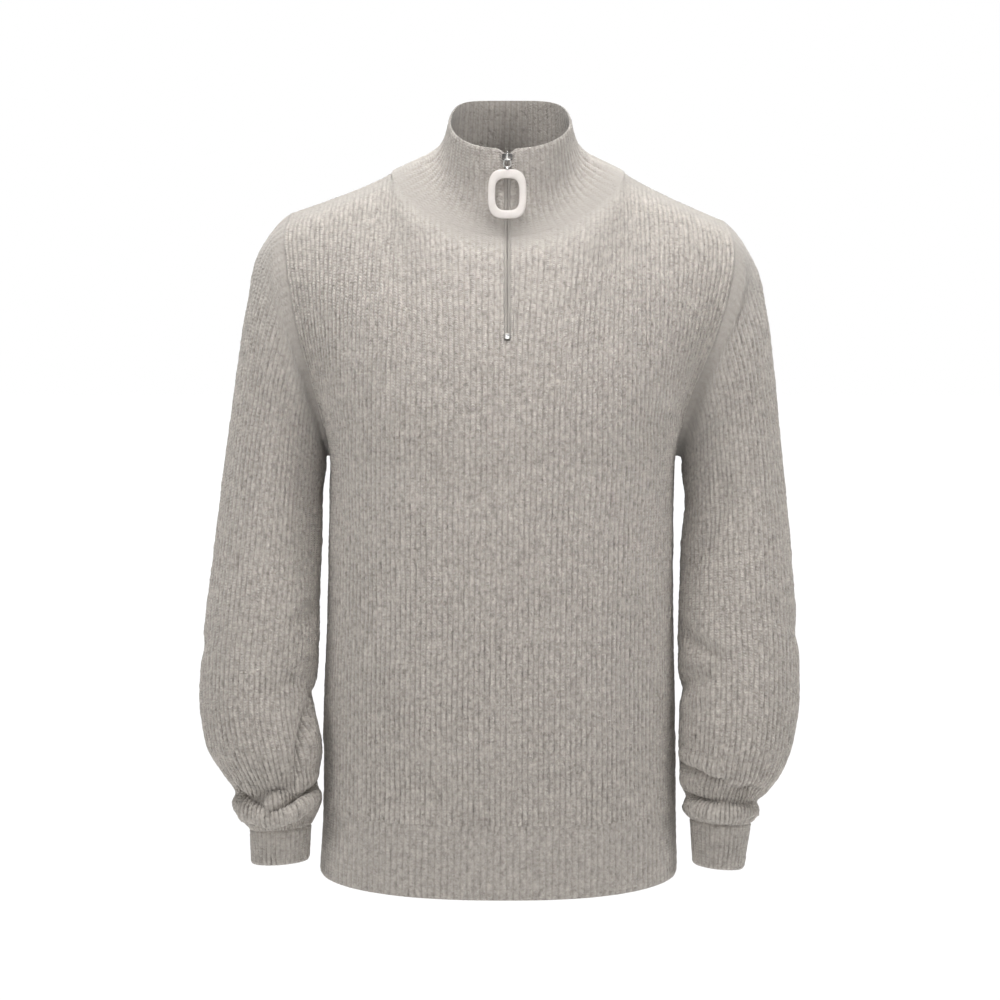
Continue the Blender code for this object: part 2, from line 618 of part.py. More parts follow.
def slider(place, material):
    """The slider: a body in the slit, a plate over it and a bail standing on the plate."""
    across = [-3.6, -2.3, -0.8, 0.8, 2.3, 3.6]
    outwards = [0.7, 2.2, 3.8, 5.4, 6.5]
    along = [-4.8, -3.4, 3.4, 4.8]
    filled = {(i, 0, k) for i in (1, 2, 3) for k in range(3)}
    filled |= {(i, 1, k) for i in range(5) for k in range(3)}
    filled |= {(2, 2, 0), (2, 2, 2), (2, 3, 0), (2, 3, 1), (2, 3, 2)}
    return blocks("zip_slider", place, across, outwards, along, filled, material)


def pull(place, material):
    """The pull: an eye through the slider's bail, and a large plain ring under it, one moulded piece."""
    eye_steps, ring_steps = 16, 40
    mesh_points, faces, half_thick = [], [], []

    def add(x, z, thickness):
        mesh_points.append((x, z))
        half_thick.append(thickness / 2)
        return len(mesh_points) - 1

    def loop(steps, half_width, top, low, power, thickness):
        middle, half = (top + low) / 2, (top - low) / 2
        loop_points = []
        for k in range(steps):
            angle = 2 * math.pi * (k + 0.5) / steps
            s, c = math.sin(angle), math.cos(angle)
            x = half_width * math.copysign(abs(s) ** (2 / power), s)
            z = middle + half * math.copysign(abs(c) ** (2 / power), c)
            loop_points.append(add(x, z, thickness))
        return loop_points

    def band(outer, inner):
        for k in range(len(outer)):
            j = (k + 1) % len(outer)
            faces.append((outer[k], outer[j], inner[j], inner[k]))

    r, e = PULL_RING, PULL_EYE
    width, top, low = r["half_width"], r["top"], r["low"]
    ring_outer = loop(ring_steps, width, top, low, 2.7, RING_THICK["edge"])
    middles = []
    for s in (0.25, 0.75):
        side, upper, lower = r["band_side"] * s, r["band_top"] * s, r["band_low"] * s
        middles.append(loop(ring_steps, width - side, top - upper, low + lower, 2.6, RING_THICK["middle"]))
    side, upper, lower = r["band_side"], r["band_top"], r["band_low"]
    ring_inner = loop(ring_steps, width - side, top - upper, low + lower, 2.5, RING_THICK["edge"])
    band(ring_outer, middles[0])
    band(middles[0], middles[1])
    band(middles[1], ring_inner)
    eye_outer = loop(eye_steps, e["half_width"], e["top"], e["low"], 3.2, 1.1)
    b = e["band"]
    eye_inner = loop(eye_steps, e["half_width"] - b, e["top"] - b, e["low"] + b, 3.0, 1.1)
    band(eye_outer, eye_inner)
    low_side = (eye_outer[eye_steps // 2 - 1], eye_outer[eye_steps // 2])
    faces.append((ring_outer[-1], ring_outer[0], low_side[0], low_side[1]))
    origin, up, out = place
    mesh = bmesh.new()
    front_side = [
        mesh.verts.new(origin + np.array([x, 0, 0]) * MM + up * z * MM + out * t * MM)
        for (x, z), t in zip(mesh_points, half_thick)
    ]
    back_side = [
        mesh.verts.new(origin + np.array([x, 0, 0]) * MM + up * z * MM - out * t * MM)
        for (x, z), t in zip(mesh_points, half_thick)
    ]
    count = {}
    for face in faces:
        mesh.faces.new([front_side[k] for k in face])
        mesh.faces.new([back_side[k] for k in face[::-1]])
        for k, j in zip(face, face[1:] + face[:1]):
            count[frozenset((k, j))] = count.get(frozenset((k, j)), 0) + 1
    for face in faces:
        for k, j in zip(face, face[1:] + face[:1]):
            if count[frozenset((k, j))] == 1:
                mesh.faces.new((front_side[j], front_side[k], back_side[k], back_side[j]))
    obj = finished("zip_pull", mesh, material)
    for vertex in obj.data.vertices:
        vertex.co -= Vector(origin)
    obj.location = origin
    return obj


def material(name, colour, roughness, metallic=0.0):
    """A plain material."""
    m = bpy.data.materials.new(name)
    m.use_nodes = True
    m.diffuse_color = (*colour, 1.0)
    shader = m.node_tree.nodes["Principled BSDF"]
    shader.inputs["Base Color"].default_value = (*colour, 1.0)
    shader.inputs["Roughness"].default_value = roughness
    shader.inputs["Metallic"].default_value = metallic
    return m


def build():
    """Everything, piece by piece."""
    front_grid, back_grid = panel_grid("front"), panel_grid("back")
    centre = np.array([0, -8, 0]) * MM
    level = [1, 1, 0]

    def piece(grid, closed, middle):
        return {"grid": grid, "normals": normals_of(grid, closed, middle)}

    front = piece(front_grid, False, centre * level + front_grid * [0, 0, 1] - [0, 0, 60 * MM])
    back = piece(back_grid, False, centre * level + back_grid * [0, 0, 1] - [0, 0, 60 * MM])
    collar_points = collar_grid(front_grid, back_grid)
    collar = piece(collar_points, False, collar_points.mean(axis=1, keepdims=True))
    sleeves, cuffs = {}, {}
    for wearer in ("right", "left"):
        grid = sleeve_grid(wearer, front_grid, back_grid)
        sleeves[wearer] = piece(grid, True, grid.mean(axis=1, keepdims=True))
        grid = cuff_grid(wearer)
        cuffs[wearer] = piece(grid, True, grid.mean(axis=1, keepdims=True))
        start = sleeves[wearer]["normals"][0]
        start[0] = [0, 0, -1]
    for panel in (front, back):
        below = len(LOWER_ROWS_Z)
        for end, sign in ((0, -1), (-1, 1)):
            panel["normals"][:below, end] = [sign, 0, 0]
        panel["normals"][0] = unit(panel["normals"][0] * level)
    share_normals([front, back, collar, *sleeves.values(), *cuffs.values()])
    for wearer in ("right", "left"):
        for row, step in ((0, SLEEVE_RIBS // UPPER_ROWS), (-1, SLEEVE_RIBS // CUFF_RIBS)):
            facing = sleeves[wearer]["normals"][row]
            fixed = np.concatenate([facing[::step], facing[:1]])
            places = np.arange(len(facing)) / step
            for k in range(3):
                facing[:, k] = np.interp(places, np.arange(len(fixed)), fixed[:, k])

    knit = material("ribbed knit", (0.42, 0.385, 0.35), 0.9)
    knit_band = material("ribbed knit of the bands", (0.41, 0.375, 0.34), 0.9)
    tape_cloth = material("zip tape", (0.36, 0.33, 0.30), 0.8)
    metal = material("zip metal", (0.72, 0.71, 0.69), 0.3, 1.0)
    ring = material("pull ring", (0.78, 0.75, 0.68), 0.45)

    seams = ["first_row", "last_row", "first_column", "last_column"]
    slit = (MIDDLE - 3, MIDDLE - 1, MIDDLE + 1, MIDDLE + 3)
    slit_row = zip_row(front_grid)
    sides = tuple(range(4, 28, 8)) + tuple(2 * PANEL_RIBS - c for c in range(4, 28, 8))
    shared = sides + (NECK_FIRST, NECK_LAST)
    columns = [c for c in every(8, 2 * PANEL_RIBS, slit + shared) if c != MIDDLE]

    def in_slit(row, column):
        return row >= slit_row and MIDDLE - 1 <= column <= MIDDLE

    wall("front", front, columns, knit, seams, skip=in_slit)
    panel_columns = every(8, 2 * PANEL_RIBS, shared)
    wall("back", back, panel_columns, knit, seams)

    ahead = NECK_LAST - MIDDLE - 1  # collar columns on the left of the front
    behind = NECK_LAST - NECK_FIRST
    last = 2 * ahead + behind
    from_front = [c - MIDDLE - 1 for c in columns if MIDDLE < c <= NECK_LAST]
    from_back = [ahead + NECK_LAST - c for c in panel_columns if NECK_FIRST <= c < NECK_LAST]
    from_right = [ahead + behind + c - NECK_FIRST for c in columns if NECK_FIRST < c < MIDDLE]
    rise = np.where(np.arange(last + 1) % 2, 0.0, RIB_RISE)
    wall("collar", collar, sorted(from_front + from_back + from_right), knit_band, ["first_row"], rise=rise)

    for wearer in ("right", "left"):
        for name, pieces, edges, cloth in (
            ("sleeve", sleeves, ["first_row", "last_row"], knit),
            ("cuff", cuffs, ["first_row"], knit_band),
        ):
            step = 8 if name == "sleeve" else 4
            around = list(range(0, pieces[wearer]["grid"].shape[1], step))
            wall(f"{name}_{wearer}", pieces[wearer], around, cloth, edges, closed=True)

    band = piece(band_grid(), True, centre * level)
    band["normals"] = unit(band["normals"] * level)
    around = list(range(0, 2 * BAND_RIBS, 8))
    wall("hem_band", band, around, knit_band, ["last_row"], closed=True)

    for wearer in ("right", "left"):
        tape(wearer, front, collar, tape_cloth)
    slider(frame_on_zip(front, collar, SLIDER_Z), metal)
    at, up, out = frame_on_zip(front, collar, SLIDER_Z)
    axis = at + out * PULL_AXIS["out"] * MM + up * PULL_AXIS["up"] * MM
    low, _, low_out = frame_on_zip(front, collar, PULL_REST["z"] * MM)
    up = unit(axis - low - low_out * PULL_REST["out"] * MM)
    pull((axis, up, np.array([0, -up[2], up[1]])), ring)
    stop_place = frame_on_zip(front, collar, ZIP_END_Z + 4 * MM)
    blocks("zip_stop", stop_place, [-2.2, 2.2], [0.7, 2.4], [-2.6, 2.6], {(0, 0, 0)}, metal)


for old in list(bpy.data.objects):
    bpy.data.objects.remove(old)
build()
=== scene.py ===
import math

import bmesh
import bpy
import numpy as np
from mathutils import Matrix, Vector
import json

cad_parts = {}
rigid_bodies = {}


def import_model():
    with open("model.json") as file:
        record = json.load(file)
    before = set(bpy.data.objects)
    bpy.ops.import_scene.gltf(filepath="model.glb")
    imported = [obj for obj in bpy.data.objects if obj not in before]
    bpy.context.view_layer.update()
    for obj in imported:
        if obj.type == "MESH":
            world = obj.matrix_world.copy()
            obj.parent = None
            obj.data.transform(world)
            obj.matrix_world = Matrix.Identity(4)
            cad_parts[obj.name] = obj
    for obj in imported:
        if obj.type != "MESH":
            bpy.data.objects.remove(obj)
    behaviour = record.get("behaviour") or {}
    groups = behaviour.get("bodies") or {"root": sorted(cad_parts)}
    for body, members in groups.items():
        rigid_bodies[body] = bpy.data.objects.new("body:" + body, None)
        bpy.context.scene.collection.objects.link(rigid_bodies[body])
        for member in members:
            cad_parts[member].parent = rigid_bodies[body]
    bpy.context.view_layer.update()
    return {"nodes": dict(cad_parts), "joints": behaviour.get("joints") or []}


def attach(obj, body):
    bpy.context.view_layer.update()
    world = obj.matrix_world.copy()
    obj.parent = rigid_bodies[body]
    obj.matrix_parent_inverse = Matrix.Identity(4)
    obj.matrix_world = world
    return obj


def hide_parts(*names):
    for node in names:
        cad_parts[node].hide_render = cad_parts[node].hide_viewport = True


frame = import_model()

mm = 0.001  # the sweater's own sizes below are in millimetres
print("frame loaded:", len(frame["nodes"]), "nodes")

# The front faces -Y, and right and left are the wearer's, so the right sleeve is at -X.

photoView = {"target": (-7, 0, -295), "distance": 3000, "elevation": 4, "lens": 108}


def addCamera():
    rise = math.radians(photoView["elevation"])
    target = Vector(photoView["target"]) * mm
    back = Vector((0, -math.cos(rise), math.sin(rise))) * photoView["distance"] * mm
    bpy.ops.object.camera_add(location=target + back, rotation=(math.pi / 2 - rise, 0, 0))
    camera = bpy.context.object
    camera.data.lens = photoView["lens"]
    bpy.context.scene.camera = camera


addCamera()

studio = {
    "floorZ": -1.25,  # metres, well under the hem, as the sweater is held up at its shoulders
    "floorSize": 60,
    "floorColour": (0.93, 0.93, 0.93, 1),
    "sky": 0.16,  # the even light from all round
    "floorGlow": 1.05,  # how bright the floor looks to the camera
    "lights": [  # soft panels: place, what they face, size in metres, watts, spread in degrees
        {"at": (0, -0.3, 2.6), "aim": (0, 0, -0.3), "size": 2.2, "power": 118},
        {"at": (-2.8, -2.0, 0.6), "aim": (0, 0, -0.3), "size": 1.8, "power": 36},
        {"at": (2.8, -2.0, 0.6), "aim": (0, 0, -0.3), "size": 1.8, "power": 38},
        {"at": (0, 2.4, 2.2), "aim": (0, 0, -0.3), "size": 1.8, "power": 85},
        {"at": (0, -2.4, 0.5), "aim": (0, -0.1, -0.19), "size": 0.4, "power": 0.24, "spread": 20},
    ],
}


# pale and evenly lit, so that it runs into the white behind it
def floorMaterial():
    made = bpy.data.materials.new("pale floor")
    made.use_nodes = True
    nodes, links = made.node_tree.nodes, made.node_tree.links
    shader = nodes["Principled BSDF"]
    shader.inputs["Base Color"].default_value = studio["floorColour"]
    shader.inputs["Roughness"].default_value = 0.9
    lit, path, mix = (nodes.new("ShaderNode" + kind) for kind in ("Emission", "LightPath", "MixShader"))
    lit.inputs["Color"].default_value = (1, 1, 1, 1)
    lit.inputs["Strength"].default_value = studio["floorGlow"]
    links.new(path.outputs["Is Camera Ray"], mix.inputs[0])
    links.new(shader.outputs[0], mix.inputs[1])
    links.new(lit.outputs[0], mix.inputs[2])
    links.new(mix.outputs[0], nodes["Material Output"].inputs["Surface"])
    return made


def addStudio():
    bpy.ops.mesh.primitive_plane_add(size=studio["floorSize"], location=(0, 0, studio["floorZ"]))
    floor = bpy.context.object
    floor.name = "studio_floor"
    floor.data.materials.append(floorMaterial())
    for panel in studio["lights"]:
        bpy.ops.object.light_add(type="AREA", location=panel["at"])
        light = bpy.context.object
        light.data.shape = "DISK"
        light.data.size = panel["size"]
        light.data.energy = panel["power"]
        light.data.spread = math.radians(panel.get("spread", 180))
        light.visible_camera = False
        away = Vector(panel["at"]) - Vector(panel["aim"])
        light.rotation_euler = away.to_track_quat("Z", "Y").to_euler()
    world = bpy.context.scene.world or bpy.data.worlds.new("studio")
    bpy.context.scene.world = world
    world.use_nodes = True
    nodes, links = world.node_tree.nodes, world.node_tree.links
    nodes.clear()
    soft, seen = nodes.new("ShaderNodeBackground"), nodes.new("ShaderNodeBackground")
    soft.inputs["Strength"].default_value = studio["sky"]
    path, mix = nodes.new("ShaderNodeLightPath"), nodes.new("ShaderNodeMixShader")
    links.new(path.outputs["Is Camera Ray"], mix.inputs[0])
    links.new(soft.outputs[0], mix.inputs[1])
    links.new(seen.outputs[0], mix.inputs[2])
    links.new(mix.outputs[0], nodes.new("ShaderNodeOutputWorld").inputs["Surface"])
    for background in (soft, seen):
        background.inputs["Color"].default_value = (1, 1, 1, 1)
    bpy.context.scene.view_settings.view_transform = "Standard"


addStudio()
print("camera and studio ready")


# The finishes


def shaderGroup(name, inputs, outputs):
    group = bpy.data.node_groups.new(name, "ShaderNodeTree")
    for label, value in inputs.items():
        kind = "NodeSocketVector" if value is None else "NodeSocketFloat"
        socket = group.interface.new_socket(name=label, in_out="INPUT", socket_type=kind)
        if value is not None:
            socket.default_value = value
    for label in outputs:
        group.interface.new_socket(name=label, in_out="OUTPUT", socket_type="NodeSocketFloat")
    return group, group.nodes.new("NodeGroupInput"), group.nodes.new("NodeGroupOutput")


# a Math node; each of the values is a socket or a number
def maths(tree, operation, *values):
    node = tree.nodes.new("ShaderNodeMath")
    node.operation = operation
    for socket, value in zip(node.inputs, values):
        if isinstance(value, (int, float)):
            socket.default_value = value
        else:
            tree.links.new(value, socket)
    return node.outputs[0]


def noiseOf(tree, place, scale, detail=2.0, roughness=0.5):
    node = tree.nodes.new("ShaderNodeTexNoise")
    tree.links.new(place, node.inputs["Vector"])
    if isinstance(scale, (int, float)):
        node.inputs["Scale"].default_value = scale
    else:
        tree.links.new(scale, node.inputs["Scale"])
    node.inputs["Detail"].default_value = detail
    node.inputs["Roughness"].default_value = roughness
    return node.outputs["Fac"]


def stretched(tree, value, low, high):
    node = tree.nodes.new("ShaderNodeMapRange")
    tree.links.new(value, node.inputs["Value"])
    node.inputs["From Min"].default_value = low
    node.inputs["From Max"].default_value = high
    return node.outputs["Result"]


# the V stitches up each rib, and lighter and darker runs of yarn along it; the first number of Place counts
# ribs and the second counts rows of stitches
def knitStitches():
    inputs = {"Place": None, "Position": None, "Slant": 0.55, "Waver": 0.5}
    group, given, result = shaderGroup("knit stitches", inputs, ["Height", "Valley", "Streak"])
    split = group.nodes.new("ShaderNodeSeparateXYZ")
    group.links.new(given.outputs["Place"], split.inputs[0])
    across = maths(group, "FRACT", split.outputs["X"])
    apart = maths(group, "ABSOLUTE", maths(group, "MULTIPLY_ADD", across, 2.0, -1.0))
    wander = maths(group, "SUBTRACT", noiseOf(group, given.outputs["Position"], 260.0, 2.0), 0.5)
    along = maths(group, "MULTIPLY_ADD", wander, given.outputs["Waver"], split.outputs["Y"])
    along = maths(group, "MULTIPLY_ADD", apart, given.outputs["Slant"], along)
    wave = maths(group, "SINE", maths(group, "MULTIPLY", along, 2 * math.pi))
    crown = maths(group, "SUBTRACT", 1.0, maths(group, "POWER", apart, 2.0))
    loop = maths(group, "MULTIPLY", crown, maths(group, "MULTIPLY_ADD", wave, 0.32, 0.35))
    group.links.new(loop, result.inputs["Height"])
    group.links.new(maths(group, "POWER", apart, 3.0), result.inputs["Valley"])
    longer = group.nodes.new("ShaderNodeVectorMath")
    longer.operation = "MULTIPLY"
    longer.inputs[1].default_value = (1.25, 0.3, 1)
    group.links.new(given.outputs["Place"], longer.inputs[0])
    streak = noiseOf(group, longer.outputs[0], 1.0, 1.5, 0.5)
    group.links.new(stretched(group, streak, 0.3, 0.7), result.inputs["Streak"])
    return group


# the uneven yarn: small loops and slubs that stand up, and the light and dark fibres of the marl
def loopedYarn():
    inputs = {"Position": None, "Scale": 330.0}
    group, given, result = shaderGroup("looped yarn", inputs, ["Height", "Marl", "Fleck", "Pit"])
    place, scale = given.outputs["Position"], given.outputs["Scale"]
    fine = noiseOf(group, place, scale, 2.0, 0.5)
    broad = noiseOf(group, place, maths(group, "MULTIPLY", scale, 0.22), 3.0, 0.55)
    cells = group.nodes.new("ShaderNodeTexVoronoi")
    group.links.new(place, cells.inputs["Vector"])
    group.links.new(maths(group, "MULTIPLY", scale, 1.15), cells.inputs["Scale"])
    curl = maths(group, "SUBTRACT", 1.0, cells.outputs["Distance"])
    height = maths(group, "MULTIPLY_ADD", curl, 0.45, maths(group, "MULTIPLY", fine, 0.75))
    group.links.new(height, result.inputs["Height"])
    marl = maths(group, "MULTIPLY_ADD", broad, 0.14, maths(group, "MULTIPLY", fine, 0.86))
    group.links.new(stretched(group, marl, 0.34, 0.66), result.inputs["Marl"])
    group.links.new(stretched(group, curl, 0.72, 0.95), result.inputs["Fleck"])
    # the gaps in the yarn, which the knit material darkens as painted shade
    gaps = noiseOf(group, place, maths(group, "MULTIPLY", scale, 0.8), 2.0, 0.5)
    group.links.new(stretched(group, gaps, 0.56, 0.7), result.inputs["Pit"])
    return group


# fine rubbing and dust on hard pieces
def handledSurface():
    inputs = {"Position": None, "Scale": 900.0}
    group, given, result = shaderGroup("handled surface", inputs, ["Height", "Dull"])
    place, scale = given.outputs["Position"], given.outputs["Scale"]
    grain = noiseOf(group, place, scale, 3.0, 0.6)
    smear = noiseOf(group, place, maths(group, "MULTIPLY", scale, 0.12), 2.0, 0.5)
    group.links.new(grain, result.inputs["Height"])
    group.links.new(stretched(group, smear, 0.35, 0.7), result.inputs["Dull"])
    return group


stitchGroup, yarnGroup, handledGroup = knitStitches(), loopedYarn(), handledSurface()


def groupNode(tree, group, **values):
    node = tree.nodes.new("ShaderNodeGroup")
    node.node_tree = group
    for label, value in values.items():
        if isinstance(value, (int, float)):
            node.inputs[label].default_value = value
        else:
            tree.links.new(value, node.inputs[label])
    return node


def mixedColour(tree, factor, first, second, blend="MIX"):
    node = tree.nodes.new("ShaderNodeMix")
    node.data_type = "RGBA"
    node.blend_type = blend
    for label, value in (("Factor_Float", factor), ("A_Color", first), ("B_Color", second)):
        socket = next(s for s in node.inputs if s.identifier == label)
        if isinstance(value, (int, float, tuple)):
            socket.default_value = value
        else:
            tree.links.new(value, socket)
    return next(s for s in node.outputs if s.identifier == "Result_Color")


def bumped(tree, height, distance):
    node = tree.nodes.new("ShaderNodeBump")
    tree.links.new(height, node.inputs["Height"])
    node.inputs["Distance"].default_value = distance
    return node.outputs["Normal"]


def coordinates(tree):
    node = tree.nodes.new("ShaderNodeTexCoord")
    return node.outputs["Object"], node.outputs["UV"]


knitLook = {
    "light": (0.585, 0.541, 0.492, 1),
    "dark": (0.30, 0.274, 0.248, 1),
    "smooth": (0.325, 0.301, 0.274, 1),  # painted shade: the darker colour where the ribs melt into plain cloth or lie low
    "fleck": (0.74, 0.70, 0.65, 1),
    "paintedRecessShade": (0.62, 0.60, 0.58, 1),  # painted shade: the colour that darkens the yarn between two ribs and in the gaps of the yarn
    "flecked": 0.4,  # how strongly the flecks show, and the painted shade in the gaps of the yarn and in the valleys
    "pitShadeStrength": 0.6,
    "valleyShadeStrength": 0.6,
    "streaked": 0.5,
    "bump": 0.9 * mm,
}


def knitMaterial(name, slant, waver):
    made = bpy.data.materials.new(name)
    made.use_nodes = True
    tree = made.node_tree
    shader = tree.nodes["Principled BSDF"]
    place, uv = coordinates(tree)
    stitch = groupNode(tree, stitchGroup, Place=uv, Position=place, Slant=slant, Waver=waver)
    yarn = groupNode(tree, yarnGroup, Position=place)
    held = tree.nodes.new("ShaderNodeAttribute")  # how far the ribs stand up at a place
    held.attribute_name = "stand"
    stand = held.outputs["Fac"]
    streak = maths(tree, "MULTIPLY", stitch.outputs["Streak"], knitLook["streaked"])
    marl = maths(tree, "MULTIPLY_ADD", yarn.outputs["Marl"], 1 - knitLook["streaked"], streak)
    colour = mixedColour(tree, marl, knitLook["dark"], knitLook["light"])
    fleck = maths(tree, "MULTIPLY", yarn.outputs["Fleck"], knitLook["flecked"])
    colour = mixedColour(tree, fleck, colour, knitLook["fleck"])
    # painted shade in the gaps of the yarn
    pitShade = maths(tree, "MULTIPLY", yarn.outputs["Pit"], knitLook["pitShadeStrength"])
    colour = mixedColour(tree, pitShade, colour, knitLook["paintedRecessShade"], "MULTIPLY")
    # painted shade in the valleys between the ribs
    paintedRecessShade = maths(tree, "MULTIPLY", stitch.outputs["Valley"], knitLook["valleyShadeStrength"])
    colour = mixedColour(tree, paintedRecessShade, colour, knitLook["paintedRecessShade"], "MULTIPLY")
    # where the ribs lie low, the colour is mixed toward the darker painted shade
    colour = mixedColour(tree, stand, knitLook["smooth"], colour)
    tree.links.new(colour, shader.inputs["Base Color"])
    height = maths(tree, "MULTIPLY_ADD", yarn.outputs["Height"], 1.0, stitch.outputs["Height"])
    height = maths(tree, "MULTIPLY_ADD", yarn.outputs["Pit"], -0.6, height)
    height = maths(tree, "MULTIPLY", height, maths(tree, "MULTIPLY_ADD", stand, 0.75, 0.25))
    tree.links.new(bumped(tree, height, knitLook["bump"]), shader.inputs["Normal"])
    shader.inputs["Roughness"].default_value = 0.95
    shader.inputs["Specular IOR Level"].default_value = 0.15
    shader.inputs["Sheen Weight"].default_value = 0.25
    shader.inputs["Sheen Roughness"].default_value = 0.6
    return made


tapeLook = {
    "colour": (0.42, 0.39, 0.356, 1),
    "shade": (0.35, 0.325, 0.295, 1),
    "ridgeGap": 0.7,  # between two ridges of the twill
    "bump": 0.2 * mm,
}


# a close twill: fine slanted ridges, counted by the piece's own UV map in millimetres
def tapeMaterial():
    made = bpy.data.materials.new("woven zip tape")
    made.use_nodes = True
    tree = made.node_tree
    shader = tree.nodes["Principled BSDF"]
    place, uv = coordinates(tree)
    split = tree.nodes.new("ShaderNodeSeparateXYZ")
    tree.links.new(uv, split.inputs[0])
    slanted = maths(tree, "MULTIPLY_ADD", split.outputs["X"], 1.0, split.outputs["Y"])
    ridge = maths(tree, "SINE", maths(tree, "MULTIPLY", slanted, 2 * math.pi / tapeLook["ridgeGap"]))
    grain = noiseOf(tree, place, 1400.0, 3.0)
    factor = maths(tree, "MULTIPLY_ADD", ridge, 0.3, grain)
    colour = mixedColour(tree, factor, tapeLook["shade"], tapeLook["colour"])
    tree.links.new(colour, shader.inputs["Base Color"])
    tree.links.new(bumped(tree, factor, tapeLook["bump"]), shader.inputs["Normal"])
    shader.inputs["Roughness"].default_value = 0.8
    shader.inputs["Specular IOR Level"].default_value = 0.25
    return made


def hardMaterial(name, colour, dulled, roughness, metallic, grain):
    made = bpy.data.materials.new(name)
    made.use_nodes = True
    tree = made.node_tree
    shader = tree.nodes["Principled BSDF"]
    place, _ = coordinates(tree)
    worn = groupNode(tree, handledGroup, Position=place)
    dull = worn.outputs["Dull"]
    tree.links.new(mixedColour(tree, dull, colour, dulled), shader.inputs["Base Color"])
    tree.links.new(maths(tree, "MULTIPLY_ADD", dull, 0.12, roughness), shader.inputs["Roughness"])
    tree.links.new(bumped(tree, worn.outputs["Height"], grain), shader.inputs["Normal"])
    shader.inputs["Metallic"].default_value = metallic
    return made


knit = knitMaterial("ribbed knit of looped yarn", 0.55, 0.55)
bandKnit = knitMaterial("closer rib of the bands", 0.5, 0.45)
tapeCloth = tapeMaterial()
teethPlastic = hardMaterial(
    "zip teeth", (0.36, 0.335, 0.305, 1), (0.30, 0.28, 0.255, 1), 0.45, 0.0, 0.02 * mm
)
metal = hardMaterial(
    "polished zip metal", (0.66, 0.65, 0.635, 1), (0.55, 0.54, 0.525, 1), 0.27, 1.0, 0.01 * mm
)
# the slider's body: the zip metal darkened as painted shade and painted dark reflection
shadedZipMetal = hardMaterial(
    "zip metal darkened as painted shade", (0.17, 0.162, 0.155, 1), (0.13, 0.125, 0.12, 1), 0.36, 1.0, 0.01 * mm
)
enamel = hardMaterial(
    "cream enamel", (0.655, 0.612, 0.582, 1), (0.62, 0.578, 0.545, 1), 0.42, 0.0, 0.012 * mm
)
print("finishes ready")


# Curves and surfaces of cloth, in millimetres


def unit(v):
    return v / np.maximum(np.linalg.norm(v, axis=-1, keepdims=True), 1e-12)


# a curve from start to end that leaves and arrives along the given vectors
def hermite(start, leave, end, arrive, t):
    begin = start * (1 + 2 * t) * (1 - t) ** 2 + leave * t * (1 - t) ** 2
    return begin + end * t**2 * (3 - 2 * t) - arrive * t**2 * (1 - t)


# one column of a table, read at any height by a smooth curve
def fromTable(rows, key, at):
    places = np.array([row["z"] for row in rows], float)
    values = np.array([row[key] for row in rows], float)
    slopes = np.gradient(values, places)
    at = np.clip(at, places[0], places[-1])
    i = int(np.clip(np.searchsorted(places, at) - 1, 0, len(places) - 2))
    span = places[i + 1] - places[i]
    t = (at - places[i]) / span
    return hermite(values[i], span * slopes[i], values[i + 1], span * slopes[i + 1], t)


# points at these shares of a curve's length
def evenly(curve, shares):
    steps = np.linalg.norm(np.diff(curve, axis=0), axis=1)
    along = np.concatenate([[0], np.cumsum(steps)]) / steps.sum()
    return np.stack([np.interp(shares, along, curve[:, k]) for k in range(3)], axis=1)


# a finer grid on the same surface: smooth along its columns, and with this many spaces across
def refined(grid, rowStep, columns, closed=False):
    if closed:
        grid = np.concatenate([grid, grid[:, :1]], axis=1)
    lengths = np.linalg.norm(np.diff(grid, axis=0), axis=2).mean(axis=1)
    along = np.concatenate([[0], np.cumsum(lengths)])
    slopes = np.gradient(grid, along, axis=0)
    at = np.linspace(0, along[-1], round(along[-1] / rowStep) + 1)
    i = np.clip(np.searchsorted(along, at) - 1, 0, len(along) - 2)
    span = (along[i + 1] - along[i])[:, None, None]
    t = (at - along[i])[:, None, None] / span
    fine = hermite(grid[i], span * slopes[i], grid[i + 1], span * slopes[i + 1], t)
    places = np.linspace(0, grid.shape[1] - 1, columns + 1)
    j = np.clip(places.astype(int), 0, grid.shape[1] - 2)
    s = (places - j)[None, :, None]
    fine = fine[:, j] * (1 - s) + fine[:, j + 1] * s
    return fine[:, :-1] if closed else fine


# directions out of a grid's surface, away from the points or line of its middle
def outwardNormals(grid, closed, middle):
    if closed:
        across = np.roll(grid, -1, axis=1) - np.roll(grid, 1, axis=1)
    else:
        across = np.gradient(grid, axis=1)
    normals = unit(np.cross(np.gradient(grid, axis=0), across))
    return normals * np.sign(np.sum(normals * (grid - middle)))


# smooth unevenness between -1 and 1, with hills about this many rows and columns apart
def softNoise(shape, rowGap, columnGap, seed, closed=False):
    rng = np.random.default_rng(seed)
    high, wide = (max(3, round(n / gap) + 1) for n, gap in zip(shape, (rowGap, columnGap)))
    hills = rng.uniform(-1, 1, (high, wide))
    if closed:
        hills[:, -1] = hills[:, 0]
    for axis, size in ((0, shape[0]), (1, shape[1])):
        places = np.linspace(0, hills.shape[axis] - 1, size)
        i = np.clip(places.astype(int), 0, hills.shape[axis] - 2)
        t = places - i
        t = t * t * (3 - 2 * t)
        t = t[:, None] if axis == 0 else t[None, :]
        hills = np.take(hills, i, axis) * (1 - t) + np.take(hills, i + 1, axis) * t
    return hills


# Creases: each is a line of points seen from one side, as (x, z) for the front and back and
# (y, z) for the outer and inner sides. A negative depth is a trough and a positive one is a ridge. A lip is
# a ridge beside it, on the left of the way along the line, or on the right if it is turned, and its drop is
# how far that ridge hangs down over the trough.
def crease(side, line, width, depth, **more):
    return {"side": side, "line": line, "width": width, "depth": depth} | more


